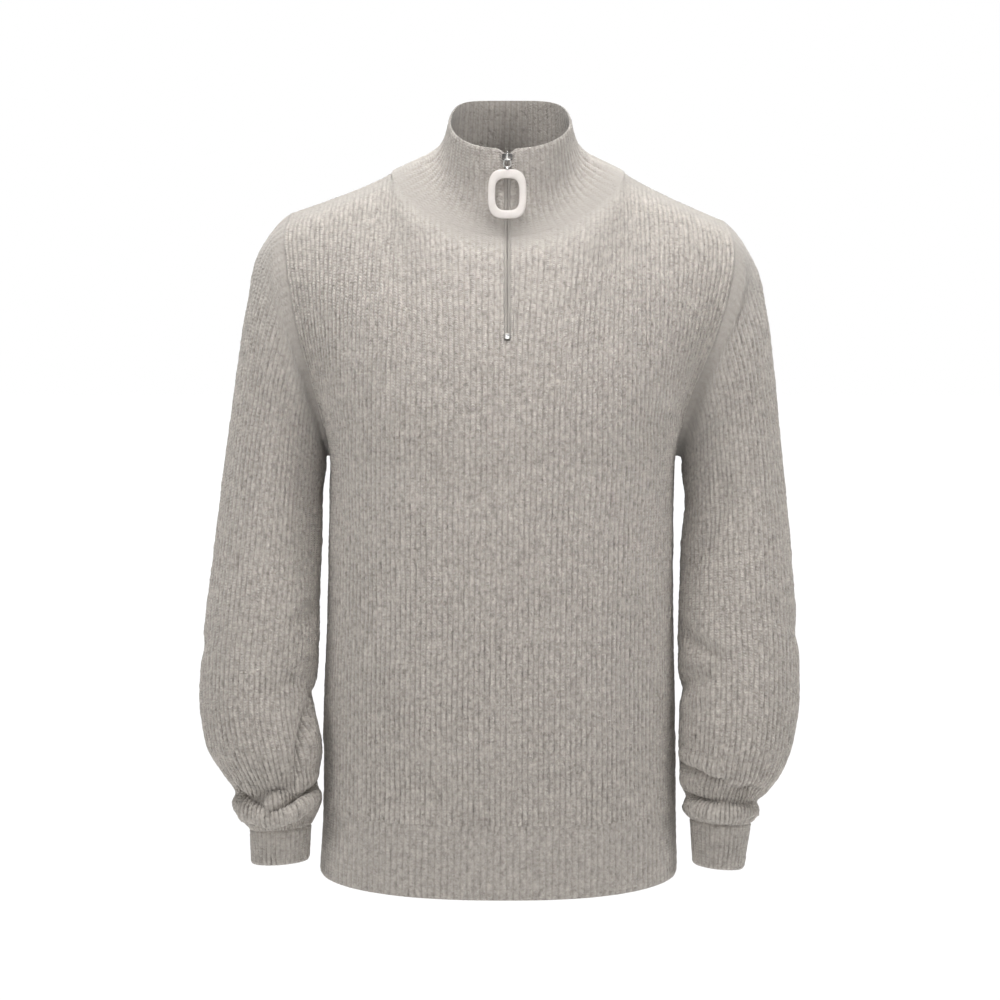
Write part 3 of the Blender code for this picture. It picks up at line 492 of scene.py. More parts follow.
def creased(grid, normals, creases):
    facing = {"front": (0, 2, -normals[..., 1]), "back": (0, 2, normals[..., 1])}
    facing["right"] = (1, 2, -normals[..., 0])
    facing["left"] = (1, 2, normals[..., 0])
    moved, sunk = np.zeros(grid.shape[:2]), np.zeros(grid.shape[:2])
    for crease in creases:
        first, second, toward = facing[crease["side"]]
        seen = grid[..., [first, second]]
        line = np.array(crease["line"], float)
        nearest = np.full(grid.shape[:2], 1e9)
        place, leftward = np.zeros(grid.shape[:2]), np.ones(grid.shape[:2])
        for k, (a, b) in enumerate(zip(line, line[1:])):
            t = np.clip(((seen - a) @ (b - a)) / ((b - a) @ (b - a)), 0, 1)
            away = np.linalg.norm(seen - a - t[..., None] * (b - a), axis=2)
            side = np.sign((seen - a) @ np.array([a[1] - b[1], b[0] - a[0]]))
            place = np.where(away < nearest, (k + t) / (len(line) - 1), place)
            leftward = np.where(away < nearest, side, leftward)
            nearest = np.minimum(nearest, away)
        ends = 1 - np.abs(2 * place - 1) ** 3 * crease.get("taper", 0.6)
        shown = np.clip(toward * 2.2 + 0.1, 0, 1)
        width, across = crease["width"], nearest * leftward * crease.get("turned", 1)
        profile = crease["depth"] * np.exp(-((across / width) ** 2))
        profile += crease.get("lip", 0) * np.exp(-((across / width - 1.9) ** 2) / 1.7)
        moved += profile * ends * shown
        sunk += crease.get("drop", 0) * np.exp(-((across / width - 1.2) ** 2)) * ends * shown
    return grid + normals * moved[..., None] - sunk[..., None] * [0, 0, 1]


# Walls of cloth

weave = {
    "wall": 1.8,  # the cloth without its ribs
    "rise": 1.35,  # how far a rib stands up
    "rough": 0.42,  # how far the yarn's loops stand out or lie low
    "course": 2.7,  # the height of a row of stitches
    "step": 2.9,  # between the rows of points
    "innerRows": 4,  # rows of the outside to one of the inside
    "wander": 0.45,  # how far a rib strays to the sides
    "purl": 0.6,  # how far the ribs of the inner face stand up
    "fullness": 2.4,  # 1 is a sharp rib, more is fuller
    "uneven": 0.45,  # how far the ribs differ in height
    "steady": 8,  # how near to a side edge the ribs run straight
    "roll": (4, 0.4),  # columns over which the cloth thins down to the zip, and what is left of it there
    "hills": (26, 34),  # rows and columns between the gentle swells of the cloth
}


# Closes a wall's edge along a path of places: the outside has a point at each, the inside at some of them
def edgeFaces(path, inner):
    kept = [k for k, place in enumerate(path) if place in inner]
    faces = []
    for a, b in zip(kept, kept[1:]):
        middle = (a + b) // 2
        for k in range(a, b):
            near = a if k < middle else b
            faces.append([("out", path[k]), ("out", path[k + 1]), ("in", path[near])])
        faces.append([("out", path[middle]), ("in", path[b]), ("in", path[a])])
    return faces


# A wall of knitted cloth on a grid of middle points. perRib is the number of columns to a rib, and inside
# the number to a column of the inner face. fade says how far from an edge, in millimetres, the cloth thins
# and what is left of it at the edge, and melt says the same of the height of its ribs. Where the ribs lie
# low, the knit material darkens the colour as painted shade.
def knittedWall(name, grid, normals, look, material, closed=False, slit=None):
    rows, columns = grid.shape[:2]
    perRib = look["perRib"]
    wide = columns if closed else columns - 1
    share = (np.arange(columns) % perRib) / perRib
    ridge = 1 - np.abs(2 * share - 1) ** weave["fullness"]
    uneven = softNoise((rows, columns), 4, perRib, look["seed"], closed)
    loops = np.random.default_rng(look["seed"] + 1).uniform(-1, 1, (rows, columns))
    near = np.ones((rows, columns))
    alongRows = np.linalg.norm(np.diff(grid, axis=0), axis=2).mean()
    pitch = np.linalg.norm(np.diff(grid, axis=1), axis=2).mean()
    toEdge = {
        "first": np.arange(rows)[:, None] * alongRows,
        "last": np.arange(rows)[::-1][:, None] * alongRows,
        "sides": np.minimum(np.arange(columns), np.arange(columns)[::-1])[None, :] * pitch,
    }
    for edge, (reach, left) in look["fade"].items():
        t = np.clip(toEdge[edge] / reach, 0, 1)
        near = np.minimum(near, left + (1 - left) * np.sqrt(1 - (1 - t) ** 2))
    if slit is not None:  # the cloth rolls down to the zip
        reach, left = weave["roll"]
        t = np.clip((np.abs(np.arange(columns) - columns // 2) - 1) / reach, 0, 1)
        rolled = left + (1 - left) * np.sqrt(1 - (1 - t) ** 2)
        near[slit:] = np.minimum(near[slit:], rolled)
    stand = look.get("stand", 1) * np.ones((rows, columns))
    for edge, (reach, left) in look.get("melt", {}).items():
        t = np.clip(toEdge[edge] / reach, 0, 1)
        stand = stand * (left + (1 - left) * t * t * (3 - 2 * t))
    field = weave["wall"] / 2 + weave["rise"] * ridge * stand * (1 + weave["uneven"] * uneven)
    field = field + weave["rough"] * loops * (0.5 + 0.5 * stand)
    ahead = np.roll(grid, -1, axis=1) - np.roll(grid, 1, axis=1) if closed else np.gradient(grid, axis=1)
    wander = weave["wander"] * softNoise((rows, columns), 5, perRib * 2, look["seed"] + 2, closed) * near
    wander = wander * np.minimum(1, toEdge["sides"] / weave["steady"]) if not closed else wander
    outer = grid + normals * (field * near)[..., None] + unit(ahead) * wander[..., None]
    purl = weave["purl"] * (1 - ridge) if look["inside"] < perRib else 0 * ridge
    inner = grid - normals * ((weave["wall"] / 2 + purl) * near)[..., None]

    innerRows = set(range(0, rows, weave["innerRows"])) | {rows - 1}
    innerColumns = set(range(0, columns, look["inside"])) | (set() if closed else {columns - 1})
    middle = columns // 2
    if slit is not None:
        innerRows.add(slit)
        innerColumns |= {middle - 1, middle + 1}
    innerRows, innerColumns = sorted(innerRows), sorted(innerColumns)

    faces = []

    def inSlit(r, c):
        return slit is not None and r >= slit and middle - 1 <= c <= middle

    for r in range(rows - 1):
        for c in range(wide):
            if not inSlit(r, c):
                ring = [(r, c), (r, c + 1), (r + 1, c + 1), (r + 1, c)]
                faces.append([("out", place) for place in ring])
    across = list(zip(innerColumns, innerColumns[1:]))
    if closed:
        across.append((innerColumns[-1], columns))
    for r, s in zip(innerRows, innerRows[1:]):
        for c, d in across:
            if not inSlit(r, c):
                faces.append([("in", place) for place in ((r, d), (r, c), (s, c), (s, d))])

    last = rows - 1
    if closed:
        paths = [[(r, c) for c in range(columns + 1)] for r in (0, last)]
    else:
        paths = [[(0, c) for c in range(columns)]]
        paths += [[(r, c) for r in range(rows)] for c in (0, columns - 1)]
        if slit is None:
            paths.append([(last, c) for c in range(columns)])
        else:
            paths.append([(last, c) for c in range(middle)])
            paths.append([(last, c) for c in range(middle + 1, columns)])
            paths.append([(slit, c) for c in (middle - 1, middle, middle + 1)])
            paths += [[(r, c) for r in range(slit, rows)] for c in (middle - 1, middle + 1)]
    inside = {(r, c) for r in innerRows for c in innerColumns + ([columns] if closed else [])}
    for path in paths:
        faces += edgeFaces(path, inside)

    points, stands, number, corners, places = [], [], {}, [], []
    for face in faces:
        corner = []
        for side, (r, c) in face:
            key = (side, r, c % columns)
            if key not in number:
                number[key] = len(points)
                points.append((outer if side == "out" else inner)[r, c % columns])
                stands.append(float(stand[r, c % columns]))
            corner.append(number[key])
            places.append((c / perRib, r * alongRows / weave["course"] if side == "out" else 0))
        corners.append(corner)
    return closedCloth(name, np.array(points) * mm, corners, places, material, stands)


def sheetObject(name, points, faces, places, material, stands=None):
    data = bpy.data.meshes.new(name)
    data.from_pydata(points.tolist(), [], faces)
    if stands is not None:
        data.attributes.new("stand", "FLOAT", "POINT").data.foreach_set("value", stands)
    data.uv_layers.new(name="weave").data.foreach_set("uv", np.array(places, np.float32).ravel())
    data.shade_smooth()
    data.materials.append(material)
    made = bpy.data.objects.new(name, data)
    bpy.context.scene.collection.objects.link(made)
    return made


def closedCloth(name, points, faces, places, material, stands):
    made = sheetObject(name, points, faces, places, material, stands)
    mesh = bmesh.new()
    mesh.from_mesh(made.data)
    bmesh.ops.recalc_face_normals(mesh, faces=mesh.faces)
    if mesh.calc_volume(signed=True) < 0:
        bmesh.ops.reverse_faces(mesh, faces=mesh.faces)
    for edge in mesh.edges:  # a wall's square edges are crisp, so that two pieces meet flush at a seam
        edge.smooth = edge.calc_face_angle(0) < math.radians(66)
    mesh.to_mesh(made.data)
    mesh.free()
    return made


# hides the part that a cloth piece stands in for, and hangs the piece on the sweater that carries it
def dress(piece, node):
    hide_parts(node)
    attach(piece, "sweater")


# The front and the back

skin = 1.8  # from the middle of the cloth to the outline that the tables below give

bodyShape = {
    "bandTop": -603,
    "hem": -667,
    "dip": 9,  # how much lower the hem hangs in the middle of the front
    "chest": -250,
    "roundness": 2.4,  # 2 is an ellipse, more is boxier
    "columns": 144,
    "neckColumns": 36,  # from the middle to where the neck seam meets the shoulder seam
    "lowerRows": 12,
    "upperRows": 18,
    "slope": (38, 47),  # how far the cloth leans in at the top, in the middle and more at the sides
    "bulge": 235,  # how strongly it swells at the armholes
    "softCorners": 34,  # columns over which the neck's corners are rounded below the seam
    "sideReach": 0.24,  # the share of its width that is drawn to the armhole seam
    "rings": [
        {"z": -670, "right": 188, "left": 171, "front": 120, "back": 116},
        {"z": -600, "right": 184, "left": 169, "front": 121, "back": 113},
        {"z": -500, "right": 183, "left": 168, "front": 121, "back": 107},
        {"z": -400, "right": 179, "left": 166, "front": 123, "back": 104},
        {"z": -300, "right": 177, "left": 166, "front": 129, "back": 110},
        {"z": -235, "right": 176, "left": 168, "front": 133, "back": 115},
    ],
}

# each armhole seam, up from the underarm, and how far it bulges to the front and the back
armholes = {
    "right": [
        {"z": -250, "x": -176.8, "front": 0, "back": 0},
        {"z": -225, "x": -180.8, "front": -34, "back": 30},
        {"z": -190, "x": -189, "front": -52, "back": 47},
        {"z": -157, "x": -198, "front": -60, "back": 54},
        {"z": -127, "x": -206, "front": -62, "back": 56},
        {"z": -90, "x": -213, "front": -58, "back": 51},
        {"z": -60, "x": -218, "front": -48, "back": 40},
        {"z": -33, "x": -221, "front": -31, "back": 24},
        {"z": -11, "x": -217, "front": -4, "back": -4},
    ],
    "left": [
        {"z": -250, "x": 168, "front": 0, "back": 0},
        {"z": -225, "x": 172, "front": -34, "back": 30},
        {"z": -190, "x": 181, "front": -52, "back": 47},
        {"z": -157, "x": 195, "front": -60, "back": 54},
        {"z": -127, "x": 207, "front": -62, "back": 56},
        {"z": -90, "x": 218, "front": -58, "back": 51},
        {"z": -62, "x": 224, "front": -48, "back": 40},
        {"z": -38, "x": 224, "front": -31, "back": 24},
        {"z": -19, "x": 218, "front": -4, "back": -4},
    ],
}

neckSeam = {"x": 1, "half": 117, "front": -80, "back": 70, "round": 1.0, "backRound": 1.0}
neckSeam.update({"zFront": -35, "zSide": 29, "zBack": 22, "rise": 1.0})
shoulderSag = 2.6  # how far the shoulder seam hangs under a straight line
chestSwell = 0.22  # how strongly the front swells forward above the chest


def bodyHalf(z, side, shares):
    angle = np.linspace(0, math.pi, 400)
    power = 2 / bodyShape["roundness"]
    across, deep = np.cos(angle), np.sin(angle)
    reach = {key: fromTable(bodyShape["rings"], key, z) - skin for key in ("right", "left", side)}
    x = np.where(across > 0, -reach["right"], reach["left"]) * np.abs(across) ** power
    y = reach[side] * np.abs(deep) ** power * (-1 if side == "front" else 1)
    return evenly(np.stack([x, y, np.full_like(x, z)], axis=1), shares)


def armholeHalf(wearer, half, shares):
    rows = armholes[wearer]
    points = [np.array([row["x"], row[half], row["z"]], float) for row in rows]
    curve = []
    for k in range(len(points) - 1):
        before = points[k - 1] if k else points[k] * [1, -1, 1] + [0, points[k + 1][1], 0]
        after = points[k + 2] if k + 2 < len(points) else points[k + 1]
        leave, arrive = (points[k + 1] - before) / 2, (after - points[k]) / 2
        steps = np.linspace(0, 1, 12, endpoint=False)[:, None]
        curve.append(hermite(points[k], leave, points[k + 1], arrive, steps))
    curve.append(points[-1][None])
    return evenly(np.concatenate(curve) - [skin * np.sign(rows[0]["x"]), 0, 0], shares)


# the turn is 0 at the front and a quarter of a circle at the left side
def neckLoop(loop, turn):
    half, front, back = loop["half"] - skin, loop["front"] + skin, loop["back"] - skin
    level = (loop["zFront"] + loop["zBack"] + 2 * loop["zSide"]) / 4
    tilt = (loop["zFront"] - loop["zBack"]) / 2
    saddle = (loop["zFront"] + loop["zBack"] - 2 * loop["zSide"]) / 4
    behind = np.clip(-np.cos(turn), 0, 1)
    power = np.where(behind > 0, loop["backRound"], loop["round"])
    across = np.sign(np.sin(turn)) * np.abs(np.sin(turn)) ** power
    x = loop["x"] * across**2 + half * across
    y = (front + back) / 2 + (front - back) / 2 * np.cos(turn)
    z = level + tilt * np.cos(turn) + saddle * np.cos(2 * turn)
    if loop["rise"] > 1:
        climb = 1 - (1 - behind) ** loop["rise"]
        z = np.where(behind > 0, loop["zSide"] + (loop["zBack"] - loop["zSide"]) * climb, z)
    return np.stack([x, y, z], axis=-1)


# the upper edge of the front or back: shoulder seam, neck seam, shoulder seam
def topEdge(side):
    tips = {wearer: armholeHalf(wearer, "front", [1.0])[0] for wearer in ("right", "left")}
    middle, neck = bodyShape["columns"] // 2, bodyShape["neckColumns"]
    points = []
    for column in range(bodyShape["columns"] + 1):
        across = (column - middle) / neck
        bounded = min(1.0, max(-1.0, across))
        turn = 0.6 * math.asin(bounded) + 0.4 * bounded * math.pi / 2
        seam = neckLoop(neckSeam, turn if side == "front" else math.pi - turn)
        tip = tips["right" if across < 0 else "left"]
        way = max(0.0, abs(across) - 1) / (middle / neck - 1)
        sag = np.array([0, 0, shoulderSag * math.sin(math.pi * way**0.7)])
        points.append(seam + (tip - seam) * way - sag)
    return np.array(points)


# the curve with its corners rounded over this many columns, and its ends kept
def softened(curve, reach):
    if reach < 1:
        return curve
    columns = np.arange(len(curve))
    weight = np.exp(-(((columns[:, None] - columns[None, :]) / reach) ** 2))
    straight = curve[0] + (curve[-1] - curve[0]) * (columns / columns[-1])[:, None]
    rounded = weight @ (curve - straight) / weight.sum(axis=1, keepdims=True)
    hold = np.clip(np.minimum(columns, columns[::-1]) / (1.5 * reach), 0, 1)[:, None]
    return curve + (rounded - (curve - straight)) * hold


# the middle points of the front or back, from the hem band up and from the right side to the left
def panelGrid(side):
    shares = np.linspace(0, 1, bodyShape["columns"] + 1)
    levels = np.linspace(bodyShape["bandTop"], bodyShape["chest"], bodyShape["lowerRows"] + 1)
    lower = [bodyHalf(z, side, shares) for z in levels]
    chest, top = lower[-1], topEdge(side)
    reach = np.linalg.norm(top - chest, axis=1, keepdims=True)
    outer = np.abs(2 * shares - 1)[:, None]
    forward = -1 if side == "front" else 1
    slope = np.radians(bodyShape["slope"][0] + bodyShape["slope"][1] * outer**1.5)
    bulge = outer**3 * bodyShape["bulge"] * np.array([0, forward, 0])
    rising = (1 - outer**3) * reach
    leave = rising * [0, chestSwell * min(forward, 0), 1.05] + bulge
    arrive = rising * np.concatenate([0 * slope, -forward * np.sin(slope), np.cos(slope)], axis=1) - bulge
    upper = bodyShape["upperRows"]
    edges = {w: armholeHalf(w, side, np.linspace(0, 1, upper + 1)) for w in ("right", "left")}
    chest[0], chest[-1] = edges["right"][0], edges["left"][0]
    rows = lower[:-1] + [chest]
    for k in range(1, upper + 1):
        t = k / upper
        row = hermite(chest, leave, softened(top, bodyShape["softCorners"] * (1 - t)), arrive, t)
        for wearer, distance, end in (("right", shares, 0), ("left", 1 - shares, -1)):
            near = np.clip(1 - distance / bodyShape["sideReach"], 0, 1)[:, None]
            row = row + near**2 * (3 - 2 * near) * (edges[wearer][k] - row[end])
        rows.append(row)
    return np.array(rows)


panelFade = {"first": (1.6, 0.92), "last": (1.6, 0.94), "sides": (3.4, 0.5)}
panelLook = {"ribs": 92, "perRib": 4, "inside": 4, "fade": panelFade, "swell": 0.7}
frontLook = panelLook | {"seed": 11, "melt": {"last": (36, 0.12)}}
backLook = panelLook | {"seed": 23, "melt": {"last": (32, 0.25)}}
zipShape = {"end": -134, "slit": 6.2, "beside": 8}  # beside is how many columns are closed up

frontCreases = [
    crease("front", [(-172, -262), (-150, -330), (-140, -420)], 13, -2.5),
    crease("front", [(164, -262), (146, -322), (132, -400)], 13, -2.5),
    crease("front", [(-187, -200), (-165, -215), (-130, -222)], 11, -2.0),
    crease("front", [(178, -196), (158, -212), (120, -221)], 12, -2.2),
    crease("front", [(-120, -480), (-105, -540), (-98, -598)], 22, -1.8),
    crease("front", [(112, -430), (124, -520), (120, -596)], 24, -2.0),
]
backCreases = [
    crease("back", [(-168, -262), (-140, -300), (-96, -322)], 14, -3.5),
    crease("back", [(160, -260), (128, -306), (90, -330)], 15, -3.5),
    crease("back", [(-60, -360), (-52, -450), (-66, -560)], 20, -2.6),
    crease("back", [(48, -330), (60, -420), (54, -520)], 22, -2.8),
    crease("back", [(-120, -520), (-40, -548), (40, -540)], 16, -2.2),
    crease("back", [(-150, -110), (-110, -150), (-90, -210)], 16, -2.4),
    crease("back", [(146, -112), (112, -160), (96, -222)], 15, -2.2),
]


# the slit for the zip: its two edges are set apart and the columns beside it closed up
def opened(grid):
    middle, beside = grid.shape[1] // 2, zipShape["beside"]
    start = int(np.argmax(grid[:, middle, 2] >= zipShape["end"]))
    half = zipShape["slit"] / 2
    for r in range(start, len(grid)):
        for sign in (-1, 1):
            reach = abs(grid[r, middle + sign * beside, 0])
            for k in range(1, beside):
                grid[r, middle + sign * k, 0] = sign * (half + (reach - half) * (k - 1) / (beside - 1))
        grid[r, middle, 0] = 0
    return start


def bodyMiddle(grid):
    return grid * [0, 0, 1] + [0, -8, -60]


def undulated(grid, normals, amount, seed, closed=False):
    hills = softNoise(grid.shape[:2], *weave["hills"], seed, closed)
    return grid + normals * (amount * hills)[..., None]


# eases a change in so that the edges, which meet other pieces, stay where they are
def keepingEdges(before, after, closed=False, first=8, last=8, sides=10):
    rows, columns = before.shape[:2]
    below, above = np.arange(rows) / first, np.arange(rows)[::-1] / last
    hold = np.clip(below, 0, 1)[:, None] * np.clip(above, 0, 1)[:, None]
    hold = np.repeat(hold, columns, axis=1)
    if not closed:
        hold *= np.clip(np.minimum(np.arange(columns), np.arange(columns)[::-1]) / sides, 0, 1)[None, :]
    hold = hold * hold * (3 - 2 * hold)
    return before + (after - before) * hold[..., None]


def shapedPanel(side, look, creases):
    grid = refined(panelGrid(side), weave["step"], look["ribs"] * look["perRib"])
    normals = outwardNormals(grid, False, bodyMiddle(grid))
    shaped = undulated(creased(grid, normals, creases), normals, look["swell"], look["seed"])
    return keepingEdges(grid, shaped)


frontGrid = shapedPanel("front", frontLook, frontCreases)
backGrid = shapedPanel("back", backLook, backCreases)
slitRow = opened(frontGrid)
frontNormals = outwardNormals(frontGrid, False, bodyMiddle(frontGrid))
backNormals = outwardNormals(backGrid, False, bodyMiddle(backGrid))
frontPiece = knittedWall("front_knit", frontGrid, frontNormals, frontLook, knit, slit=slitRow)
dress(frontPiece, "front")
backPiece = knittedWall("back_knit", backGrid, backNormals, backLook, knit)
dress(backPiece, "back")
print("front and back made")


# The collar

collarShape = {
    "top": {"x": 3, "half": 61, "front": -64, "back": 58, "round": 0.84, "backRound": 0.6}
    | {"zFront": 51.5, "zSide": 80.5, "zBack": 105, "rise": 1.4},
    "look": {"ribs": 72, "perRib": 6, "inside": 3, "seed": 31, "stand": 0.6, "melt": {"first": (40, 0.1)}}
    | {"fade": {"first": (1.6, 0.94), "last": (3.2, 0.45), "sides": (4.0, 0.45)}},
    "corner": {"wide": 8.0, "drop": 4.5},  # beside the zip, where each end of the top edge is rounded down
    "rowStep": 2.2,
}


def collarGrid():
    middle, neck = bodyShape["columns"] // 2, bodyShape["neckColumns"]
    front, back = topEdge("front"), topEdge("back")
    around = [front[middle + 1 : middle + neck + 1], back[middle - neck : middle + neck][::-1]]
    base = np.concatenate(around + [front[middle - neck + 1 : middle]])
    turn = np.linspace(0, 2 * math.pi, len(base) + 2)[1:-1]
    whole = neckLoop(collarShape["top"], np.linspace(turn[0], turn[-1], 1440))
    top = evenly(whole, np.linspace(0, 1, len(base)))
    half = zipShape["slit"] / 2
    base[0, 0], base[-1, 0] = half, -half
    top[0, 0], top[-1, 0] = half, -half
    side = np.abs(np.sin(turn))[:, None]
    away = unit((base - top) * [1, 1, 0])
    reach = np.linalg.norm(top - base, axis=1, keepdims=True)
    up = np.array([0, 0, 1])
    leave = reach * (up * (1 - 0.3 * side) - away * (0.2 + 1.28 * side))
    arrive = reach * (up * (1 + 0.5 * side) - away * (0.1 + 0.1 * side))
    shares = np.linspace(0, 1, 14)
    grid = np.array([hermite(base, leave, top, arrive, t) for t in shares])
    grid[:, 0, 0], grid[:, -1, 0] = half, -half
    corner = collarShape["corner"]
    near = np.clip(1 - (np.abs(top[:, 0]) - half) / corner["wide"], 0, 1) * (top[:, 1] < 0)
    grid[..., 2] -= corner["drop"] * near**2 * shares[:, None] ** 4
    return grid


look = collarShape["look"]
collar = refined(collarGrid(), collarShape["rowStep"], look["ribs"] * look["perRib"])
collarNormals = outwardNormals(collar, False, collar.mean(axis=1, keepdims=True))
collarPiece = knittedWall("collar_knit", collar, collarNormals, look, bandKnit)
dress(collarPiece, "collar")
print("collar made")


# The sleeves and cuffs

# a row of a sleeve's outside: its outer and inner point seen from the front, and its depth
def armRow(outX, outZ, inX, inZ, front, back):
    return {"outX": outX, "outZ": outZ, "inX": inX, "inZ": inZ, "front": front, "back": back}


# from the armhole down
sleeveShape = {
    "right": [
        armRow(-243, -43, -181, -255, -67, 60),
        armRow(-256, -95, -182, -262, -68, 60),
        armRow(-267, -165, -183, -277, -66, 55),
        armRow(-280, -259, -184, -304, -66, 44),
        armRow(-289, -330, -185, -352, -71, 35),
        armRow(-297, -392, -186, -402, -79, 25),
        armRow(-303, -450, -188, -450, -86, 17),
        armRow(-302, -505, -190, -502, -93, 9),
        armRow(-295, -540, -184, -537, -95, 4),
        armRow(-278, -566, -187, -561, -88, -4),
        armRow(-271, -578, -189, -574, -79, -12),
        armRow(-272, -594, -184, -587, -92, -3),
        armRow(-263, -608, -188, -601, -90, -7),
        armRow(-255, -617, -194, -613, -78, -16),
    ],
    "left": [
        armRow(245, -59, 175, -256, -68, 61),
        armRow(256, -103, 176, -264, -68, 60),
        armRow(264, -165, 176, -277, -66, 55),
        armRow(273, -257, 177, -304, -66, 44),
        armRow(280, -325, 173, -345, -71, 35),
        armRow(285, -388, 170.5, -398, -79, 25),
        armRow(289, -446, 170.5, -448, -86, 17),
        armRow(287, -502, 171, -502, -93, 9),
        armRow(281, -538, 171, -536, -95, 4),
        armRow(272, -560, 172, -559, -91, -1),
        armRow(259, -579, 174, -575, -82, -11),
        armRow(250, -590, 178, -586, -82, -13),
        armRow(249, -602, 174, -598, -91, -6),
        armRow(242, -611, 181, -607, -78, -16),
    ],
}
cuffShape = {
    "right": [
        armRow(-255, -617, -194, -613, -78, -16),
        armRow(-254, -652, -196, -648, -75, -20),
    ],
    "left": [
        armRow(242, -611, 181, -607, -78, -16),
        armRow(235, -657, 184, -652, -75, -20),
    ],
}
sleeveCreases = {
    "right": [
        crease("front", [(-203, -265), (-201, -372)], 12, -3.0),
        crease("front", [(-187, -386), (-206, -415)], 8, -4, lip=1.5, turned=-1),
        crease("front", [(-190, -458), (-212, -468), (-236, -477)], 10, -3.5),
        crease("front", [(-194, -484), (-203, -520), (-207, -556)], 5.5, -8, lip=3),
        crease("front", [(-264, -572), (-254, -580), (-238, -587)], 3.6, -7, lip=3.5, drop=3),
        crease("front", [(-244, -589), (-230, -594), (-216, -590)], 5, -3, lip=2, drop=1.5),
        crease(
            "front", [(-228, -592), (-214, -585), (-202, -577), (-184, -566)],
            3.8, -14, lip=5, drop=4.5,
        ),
        crease("front", [(-262, -594), (-240, -599), (-215, -596), (-190, -583)], 6, 4),
        crease(
            "front", [(-254, -606), (-226, -608), (-206, -602), (-186, -590)],
            3.4, -7, lip=3.5, drop=3.5,
        ),
        crease("front", [(-222, -613), (-206, -609), (-188, -600)], 6, -9),
        crease("back", [(-200, -300), (-230, -345), (-262, -368)], 14, -4.0),
        crease("back", [(-198, -400), (-232, -430), (-270, -440)], 12, -4.0),
        crease("back", [(-196, -500), (-232, -520), (-268, -512)], 9, -4.0),
        crease("back", [(-192, -570), (-228, -582), (-262, -574)], 5, -6.0),
        crease("back", [(-196, -598), (-236, -604), (-262, -596)], 6, 3.0),
        crease("right", [(-60, -420), (-20, -450), (8, -440)], 12, -3.0),
        crease("right", [(-80, -578), (-45, -584), (-12, -576)], 5, -2.0),
        crease("left", [(-70, -470), (-40, -486), (-8, -476)], 9, -3.5),
    ],
    "left": [
        crease("front", [(214, -262), (215, -295), (202, -325), (186, -356)], 11, -4.5),
        crease("front", [(171, -415), (189, -432), (212, -444)], 8, -4, lip=1.5),
        crease("front", [(169, -482), (190, -466), (205, -462)], 8, -3.5),
        crease(
            "front", [(160, -549), (184, -551), (198, -558), (214, -563)],
            3.6, -11, lip=4, taper=0.8, drop=4,
        ),
        crease("front", [(162, -560), (182, -565), (200, -572)], 5, 3),
        crease(
            "front", [(160, -570), (178, -577), (194, -582), (212, -586)],
            3.4, -11, lip=3.5, taper=0.8, drop=4,
        ),
        crease("front", [(222, -573), (232, -572), (240, -571)], 4.5, -5, lip=2),
        crease("front", [(176, -588), (200, -594), (236, -592)], 6, 3.5),
        crease("front", [(172, -597), (187, -602), (214, -604), (240, -602)], 3.2, -6, lip=3, drop=3),
        crease("back", [(186, -290), (214, -330), (244, -352)], 14, -4.0),
        crease("back", [(180, -396), (216, -424), (252, -436)], 12, -4.0),
        crease("back", [(178, -492), (214, -516), (250, -508)], 9, -4.0),
        crease("back", [(176, -566), (208, -580), (242, -572)], 5, -6.0),
        crease("left", [(-62, -404), (-22, -436), (10, -430)], 12, -3.0),
        crease("left", [(-78, -586), (-45, -590), (-12, -584)], 5, -2.5),
        crease("right", [(-70, -462), (-40, -480), (-8, -470)], 9, -3.5),
    ],
}
sleeveLook = {"ribs": 64, "perRib": 4, "inside": 4, "seed": 41, "melt": {"first": (60, 0.2)}}
sleeveLook["fade"] = {"first": (3.0, 0.7), "last": (4, 0.35)}
sleeveLook.update({"rowStep": 2.4, "swell": 0.8, "swellSeed": 61})
cuffLook = {"ribs": 38, "perRib": 6, "inside": 3, "seed": 51, "stand": 0.75, "rowStep": 2.4}
cuffLook["fade"] = {"first": (3.5, 0.15), "last": (3, 0.45)}
armColumns = 96
sleeveHead = {"lean": 12, "under": 5, "over": 8}  # how the cloth leaves the armhole, below and above


# a loop of cloth round a sleeve, from the underarm by the front, the outer side and the back
def armLoop(row, columns):
    outer, inner = np.array([row["outX"], 0, row["outZ"]]), np.array([row["inX"], 0, row["inZ"]])
    middle, half = (outer + inner) / 2, (outer - inner) / 2 - unit(outer - inner) * skin
    deepMiddle, deepHalf = (row["front"] + row["back"]) / 2, (row["back"] - row["front"]) / 2 - skin
    angle = np.linspace(0, math.pi, 200)[:, None]
    arc = middle + [0, deepMiddle, 0] - half * np.cos(angle)
    halves = [arc + np.sin(angle) * [0, -deepHalf, 0], (arc + np.sin(angle) * [0, deepHalf, 0])[::-1]]
    shares = np.linspace(0, 1, columns // 2 + 1)
    return np.concatenate([evenly(halves[0], shares)[:-1], evenly(halves[1], shares)[:-1]])


def sleeveGrid(wearer):
    end = 0 if wearer == "right" else -1
    chestRow, columns = bodyShape["lowerRows"], armColumns
    front, back = panelGrid("front")[chestRow:, end], panelGrid("back")[chestRow:, end]
    edge = np.concatenate([front, back[:-1][::-1]])
    places = np.arange(columns) * (len(edge) - 1) / columns
    first = np.stack([np.interp(places, np.arange(len(edge)), edge[:, k]) for k in range(3)], axis=1)
    loops = [armLoop(row, columns) for row in sleeveShape[wearer]]
    share = np.arange(columns) / columns
    top = (1 - np.cos(2 * math.pi * share))[:, None] / 2
    sideways = np.array([-1.0 if wearer == "right" else 1.0, 0, 0])
    away = unit((1 - top) * sideways + top * unit(loops[0] - first + sideways * sleeveHead["lean"]))
    second = first + away * (sleeveHead["under"] + sleeveHead["over"] * top)
    return np.array([first, second] + loops)


